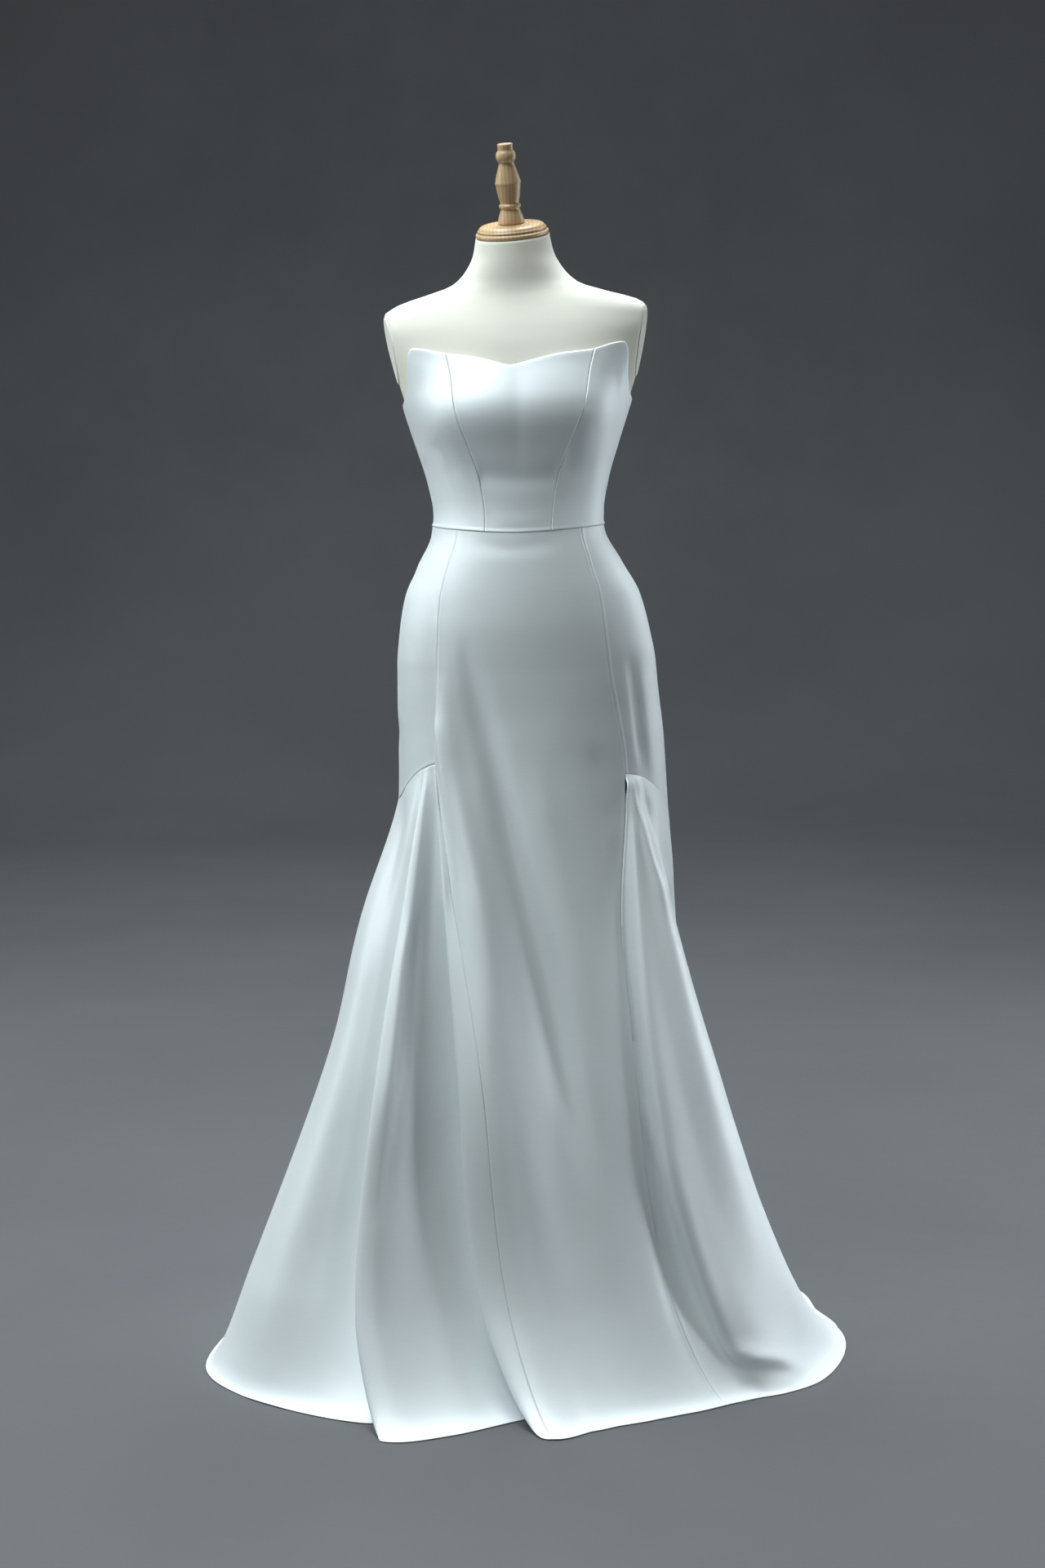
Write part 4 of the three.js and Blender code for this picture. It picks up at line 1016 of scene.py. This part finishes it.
neckCap = {"sides": 96, "gap": 0.5, "tall": 15.5, "profile": [
    (0.4, 0), (30, 0), (48.5, 0.1), (49.7, 0.6), (50.4, 1.6), (50.5, 3.2), (50.3, 4.4), (49.6, 5.2),
    (48.6, 5.7), (47.6, 6.1),
    (47.1, 6.8), (47.3, 7.5), (47.6, 8.2), (47.5, 9.0), (46.9, 9.7), (46.2, 10.2), (45.6, 11.0),
    (45.2, 11.9),
    (44.3, 13.0), (42.6, 14.1), (40.4, 14.9), (37, 15.35), (30, 15.5), (0.4, 15.5)]}
finial = {"sides": 72, "profile": [
    (0.4, 0), (16.6, 0), (17.7, 0.4), (18.0, 1.4), (17.9, 3.4), (17.4, 6.4), (16.2, 10.4), (14.6, 15),
    (13.3, 19),
    (12.9, 20.2), (13.6, 20.9), (14.7, 21.6), (15.1, 22.8), (15.1, 24.2), (14.7, 25.5), (13.7, 26.3),
    (12.9, 27),
    (12.9, 28.2), (13.6, 31), (14.9, 36), (16.0, 43), (16.8, 49.5), (17.3, 52.4), (17.75, 53.6),
    (17.8, 54.6), (17.5, 55.8),
    (16.9, 57.6), (15.9, 62), (14.3, 67.4), (12.6, 72.6), (11.2, 77), (10.5, 80), (10.5, 81.2),
    (11.5, 82.8), (13.0, 84.8),
    (13.75, 87.4), (13.85, 89.8), (13.5, 92.4), (12.3, 94.8), (10.9, 96.6), (10.35, 97.6), (10.3, 99),
    (10.55, 103.6),
    (10.5, 105), (10.0, 105.8), (9, 106), (0.4, 106)]}
standTurning = {"sides": 96, "profile": [
    (0.4, 0.3), (160, 0.3), (163.4, 0.8), (164.8, 2.4), (165, 5), (165, 12.4), (164.4, 14.4), (162.6, 16.4),
    (160, 17.6),
    (154, 18), (60, 18), (0.4, 18)]}
neckTilted = np.array([-math.tan(form["neckRoll"]), -math.tan(form["neckTilt"]), 1.0])


def turnedPiece(name, profile, sides, place):
    turns = np.linspace(0, 2 * np.pi, sides + 1)[:-1]
    spun = [np.stack([r * np.cos(turns), r * np.sin(turns), np.full(sides, float(h))], -1) for r,
            h in profile]
    points = np.array([place(p) for p in np.stack(spun).reshape(-1, 3)])
    return meshFrom(name, points, closedQuads(sides, len(profile)))


def neckPlace(lift):
    c, s = math.cos(stand["lean"]), math.sin(stand["lean"])
    x, y, z = neckTilted
    axis = Vector((x * c - z * s, y, x * s + z * c)).normalized()
    turn = Vector((0, 0, 1)).rotation_difference(axis)
    foot = Vector(leaned(np.array([float(body["middle"](form["neckTop"])), 0, form["neckTop"]])))
    return lambda p: tuple(foot + turn @ Vector((p[0], p[1], p[2] + lift)))


cap = turnedPiece("form_moulded_cap", neckCap["profile"], neckCap["sides"], neckPlace(neckCap["gap"]))
settle(cap, beech, ["form_neck_cap"])
knob = turnedPiece("form_turned_finial", finial["profile"], finial["sides"],
                   neckPlace(neckCap["tall"] + 2 * neckCap["gap"]))
settle(knob, beech, ["form_finial"])
foot = turnedPiece("form_turned_base", standTurning["profile"], standTurning["sides"], tuple)
settle(foot, standWood, ["form_base"])
print("turned wood is in place")


# The bodice

bodiceEdges = {"start": "seam", "end": "seam", "top": "neckline", "bottom": "waistAbove"}
bodiceFine = {"rows": 34, "rowEdge": (0.005, 0.011, 0.018, 0.028, 0.042),
              "edge": (0.01, 0.024, 0.045, 0.08)}
bodicePanels = {
    "front": {
        "from": bodiceSeam["princessRight"], "to": bodiceSeam["princessLeft"], "columns": 22,
        "edges": bodiceEdges,
        "cut": (0.158, 0.262), "area": 0.029, "creases": [
            {"path": [(-62, 1216), (0, 1209), (60, 1214)], "width": (13, 13), "height": -2.6,
             "fade": (0.12, 0.12)},
            {"path": [(-40, 1158), (0, 1153), (44, 1159)], "width": (6, 6), "height": 0.6}]},
    "side_front_left": {
        "from": bodiceSeam["princessLeft"], "to": bodiceSeam["side"], "columns": 26, "edges": bodiceEdges,
        "cut": (0.152, 0.262), "area": 0.026, "creases": [
            {"path": [(62, 1330), (70, 1262), (66, 1196)], "width": (15, 11), "height": -2.0, "skew": 0.3},
            {"path": [(118, 1330), (112, 1262), (96, 1196)], "width": (10, 8), "height": 0.9}]},
    "side_front_right": {
        "from": lambda z: -bodiceSeam["side"](z), "to": bodiceSeam["princessRight"], "columns": 26,
        "edges": bodiceEdges, "cut": (0.152, 0.262), "area": 0.026, "creases": [
            {"path": [(-120, 1262), (-98, 1240), (-80, 1204)], "width": (14, 10), "height": -1.2}]},
    "side_back_left": {
        "from": bodiceSeam["side"], "to": bodiceSeam["back"], "columns": 18, "edges": bodiceEdges,
        "cut": (0.128, 0.182), "area": 0.019, "creases": [
            {"seenFrom": 120, "path": [(40, 1236), (78, 1216), (112, 1206)], "width": (9, 7),
             "height": -0.9}]},
    "side_back_right": {
        "from": lambda z: -bodiceSeam["back"](z), "to": lambda z: -bodiceSeam["side"](z), "columns": 18,
        "edges": bodiceEdges, "cut": (0.128, 0.182), "area": 0.019, "creases": [
            {"seenFrom": -120, "path": [(-108, 1226), (-76, 1210), (-38, 1200)], "width": (8, 8),
             "height": -0.8}]},
    "back_left": {
        "from": bodiceSeam["back"], "to": lambda z: 180.0 + 0 * z, "columns": 14,
        "edges": {**bodiceEdges, "end": "centreBack"}, "cut": (0.088, 0.158), "area": 0.012, "creases": [
            {"seenFrom": 180, "path": [(-58, 1186), (-30, 1176), (-6, 1178)], "width": (7, 6),
             "height": -0.9}]},
    "back_right": {
        "from": lambda z: -180.0 + 0 * z, "to": lambda z: -bodiceSeam["back"](z), "columns": 14,
        "edges": {**bodiceEdges, "start": "centreBack"}, "cut": (0.088, 0.158), "area": 0.012, "creases": [
            {"seenFrom": 180, "path": [(8, 1170), (30, 1166), (60, 1176)], "width": (7, 6),
             "height": -0.8}]},
}

for name, panel in bodicePanels.items():
    grid = bodiceGrid(panel["from"], panel["to"], fineSteps(0, 1, panel["columns"], bodiceFine["edge"]),
                      fineSteps(0, 1, bodiceFine["rows"], bodiceFine["rowEdge"]))
    wall = clothWall("satin_bodice_" + name, grid, panel["edges"], panel["creases"], slack=[(34, 0.22)])
    settle(wall, satin, ["bodice_" + name])
print("bodice is fitted")


# The skirt

skirtFine = {"edge": (0.02, 0.045, 0.08, 0.14), "hipRows": 50, "hipEdge": (0.003, 0.007, 0.013, 0.022),
             "flareRows": 112, "flareEdge": (0.0012, 0.003, 0.006, 0.01)}
seamAt = {name: foldNames.index(name) for name in ("backSeamRight", "frontSeamRight", "frontSeamLeft",
                                                   "backSeamLeft")}
skirtPanels = {
    "skirt_front": {
        "from": seamAt["frontSeamRight"], "to": seamAt["frontSeamLeft"], "rows": "full", "perFold": 10,
        "edges": {"start": "seam", "end": "seamLip", "top": "waistBelow", "bottom": "hem"},
        "cut": (0.46, 1.27), "area": 0.36, "creases": [
            {"path": [(-78, 1128), (-10, 1116), (72, 1130)], "width": (9, 9), "height": -1.3},
            {"path": [(-106, 990), (-104, 900), (-91, 799), (-61, 669), (-37, 539), (-28, 380)],
             "width": (14, 25), "height": 14, "fade": (0.42, 0.38)},
            {"path": [(-66, 990), (-56, 905), (-31, 799), (2, 669), (37, 539), (66, 411), (89, 327),
                      (110, 240)],
             "width": (15, 26), "height": -19, "fade": (0.4, 0.45)},
            {"path": [(-74, 1010), (-70, 950), (-62, 885), (-46, 820)], "width": (9, 12), "height": -1.6},
            {"path": [(-115, 900), (-103, 821), (-93, 723), (-88, 647), (-79, 539)], "width": (5, 6),
             "height": 4.2,
             "skew": 0.5, "fade": (0.12, 0.4)},
            {"path": [(14, 860), (40, 740), (76, 600), (104, 440)], "width": (16, 22), "height": 2.2},
            {"path": [(96, 860), (118, 790), (130, 720)], "width": (12, 14), "height": -2}]},
    "hip_right": {
        "from": seamAt["backSeamRight"], "to": seamAt["frontSeamRight"], "rows": "hip", "perFold": 4,
        "edges": {"start": "seam", "end": "seam", "top": "waistBelow", "bottom": "godet"},
        "cut": (0.33, 0.40), "area": 0.10, "creases": [
            {"seenFrom": -90, "path": [(-34, 940), (-8, 884), (20, 826)], "width": (9, 12), "height": -1.7},
            {"seenFrom": -90, "path": [(-70, 1090), (-20, 1076), (30, 1084)], "width": (9, 9),
             "height": -0.9}]},
    "hip_left": {
        "from": seamAt["frontSeamLeft"], "to": seamAt["backSeamLeft"], "rows": "hip", "perFold": 5,
        "edges": {"start": "seamLip", "end": "seam", "top": "waistBelow", "bottom": "godetFlat"},
        "cut": (0.33, 0.41), "area": 0.10, "creases": [
            {"path": [(148, 985), (158, 930), (166, 860), (176, 790)], "width": (9, 10), "height": -2.6,
             "skew": 0.3},
            {"path": [(162, 975), (170, 915), (177, 850), (188, 785)], "width": (6, 8), "height": 1.8,
             "skew": 0.3},
            {"seenFrom": 90, "path": [(-6, 946), (16, 880), (28, 806)], "width": (10, 12),
             "height": -1.5}]},
    "godet_right": {
        "from": seamAt["backSeamRight"], "to": seamAt["frontSeamRight"], "rows": "flare", "perFold": 10,
        "edges": {"start": "seam", "end": "seam", "top": "godet", "bottom": "hem"},
        "cut": (1.35, 0.90), "area": 0.70, "creases": [
            {"path": [(-135, 812), (-147, 745), (-155, 695), (-164, 630)], "width": (7, 9), "height": 3.5,
             "fade": (0.35, 0.5)},
            {"path": [(-156, 790), (-168, 738), (-180, 680), (-198, 600), (-216, 520)], "width": (7, 13),
             "height": -7, "fade": (0.3, 0.5)},
            {"path": [(-117, 806), (-118, 700), (-122, 590), (-128, 480)], "width": (5, 9), "height": -1.6},
            {"path": [(-104, 806), (-102, 700), (-102, 600)], "width": (4, 7), "height": 1.3},
            {"path": [(-130, 650), (-139, 565), (-148, 440), (-170, 300), (-186, 220)], "width": (6, 9),
             "height": -4, "skew": -0.3},
            {"path": [(-146, 640), (-158, 560), (-170, 440), (-190, 310)], "width": (6, 9),
             "height": 2.5}]},
    "godet_left": {
        "from": seamAt["frontSeamLeft"], "to": seamAt["backSeamLeft"], "rows": "flare", "perFold": 11,
        "edges": {"start": "seamLip", "end": "seam", "top": "godetFlat", "bottom": "hem"},
        "cut": (1.20, 0.90), "area": 0.62, "creases": [
            {"path": [(142, 806), (156, 772), (173, 720), (190, 668), (208, 606)], "width": (14, 18),
             "height": 6,
             "skew": 0.62, "fade": (0.12, 0.35)},
            {"path": [(160, 800), (177, 750), (190, 700), (204, 650)], "width": (8, 10), "height": -6},
            {"lookDown": 20, "path": [(162, 304), (183, 235), (204, 169), (225, 104), (250, 34), (267, -15),
                      (281, -41), (309, -50), (353, -54), (391, -66)],
             "width": (12, 9), "height": 6.5, "skew": 0.5, "fade": (0.2, 0.2)},
            {"lookDown": 20, "path": [(154, 290), (173, 228), (192, 160), (212, 92), (236, 22), (256, -30)],
             "width": (6, 5), "height": -3.6, "fade": (0.25, 0.3)},
            {"lookDown": 20, "path": [(268, -50), (304, -63), (352, -68), (396, -82)],
             "width": (5, 4), "height": -0.8, "fade": (0.4, 0.4)}]},
    "skirt_back_right": {
        "from": 0, "to": seamAt["backSeamRight"], "rows": "full", "perFold": 14,
        "edges": {"start": "centreBack", "end": "seam", "top": "waistBelow", "bottom": "hem"},
        "cut": (0.42, 1.32), "area": 0.28, "creases": [
            {"seenFrom": 180, "path": [(16, 1092), (58, 1078), (104, 1088)], "width": (9, 9),
             "height": -1.2},
            {"seenFrom": 180, "path": [(98, 930), (84, 850), (72, 760), (66, 640)], "width": (16, 24),
             "height": 6, "fade": (0.4, 0.4)},
            {"seenFrom": 180, "path": [(64, 920), (46, 840), (36, 750), (34, 630)], "width": (16, 22),
             "height": -6, "fade": (0.4, 0.4)}]},
    "skirt_back_left": {
        "from": seamAt["backSeamLeft"], "to": foldCount, "rows": "full", "perFold": 14,
        "edges": {"start": "seam", "end": "centreBack", "top": "waistBelow", "bottom": "hem"},
        "cut": (0.42, 1.32), "area": 0.28, "creases": [
            {"seenFrom": 180, "path": [(-20, 1084), (-64, 1072), (-96, 1080)], "width": (8, 9),
             "height": -1.0},
            {"seenFrom": 180, "path": [(-84, 900), (-62, 810), (-44, 710), (-38, 590)], "width": (17, 22),
             "height": -5, "fade": (0.4, 0.4)},
            {"seenFrom": 180, "path": [(-112, 910), (-94, 810), (-80, 700)], "width": (14, 18),
             "height": 4}]},
}


def skirtRows(kind):
    hip = fineSteps(0, 1, skirtFine["hipRows"], skirtFine["hipEdge"])
    flare = 1 + fineSteps(0, 1, skirtFine["flareRows"], skirtFine["flareEdge"])
    if kind == "hip":
        return hip
    if kind == "flare":
        return flare
    return np.concatenate([hip[:-4], flare[4:]])


for name, panel in skirtPanels.items():
    places = fineSteps(panel["from"], panel["to"], panel["perFold"] * (panel["to"] - panel["from"]),
                       skirtFine["edge"])
    grid = skirtGrid(places, skirtRows(panel["rows"]))
    wall = clothWall("satin_" + name, grid, panel["edges"], panel["creases"], slack=[(70, 0.5)],
                     floor=panel["rows"] != "hip")
    settle(wall, satin, [name])
print("skirt hangs to the floor")


# What stays from the solid model

for name, finish in (("form_pole", standWood), ("zip_slider", zipMetal), ("zip_pull", zipMetal)):
    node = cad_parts[name]
    if not node.material_slots:
        node.data.materials.append(finish)
    for slot in node.material_slots:
        slot.material = finish

bpy.context.scene.view_settings.view_transform = "Standard"
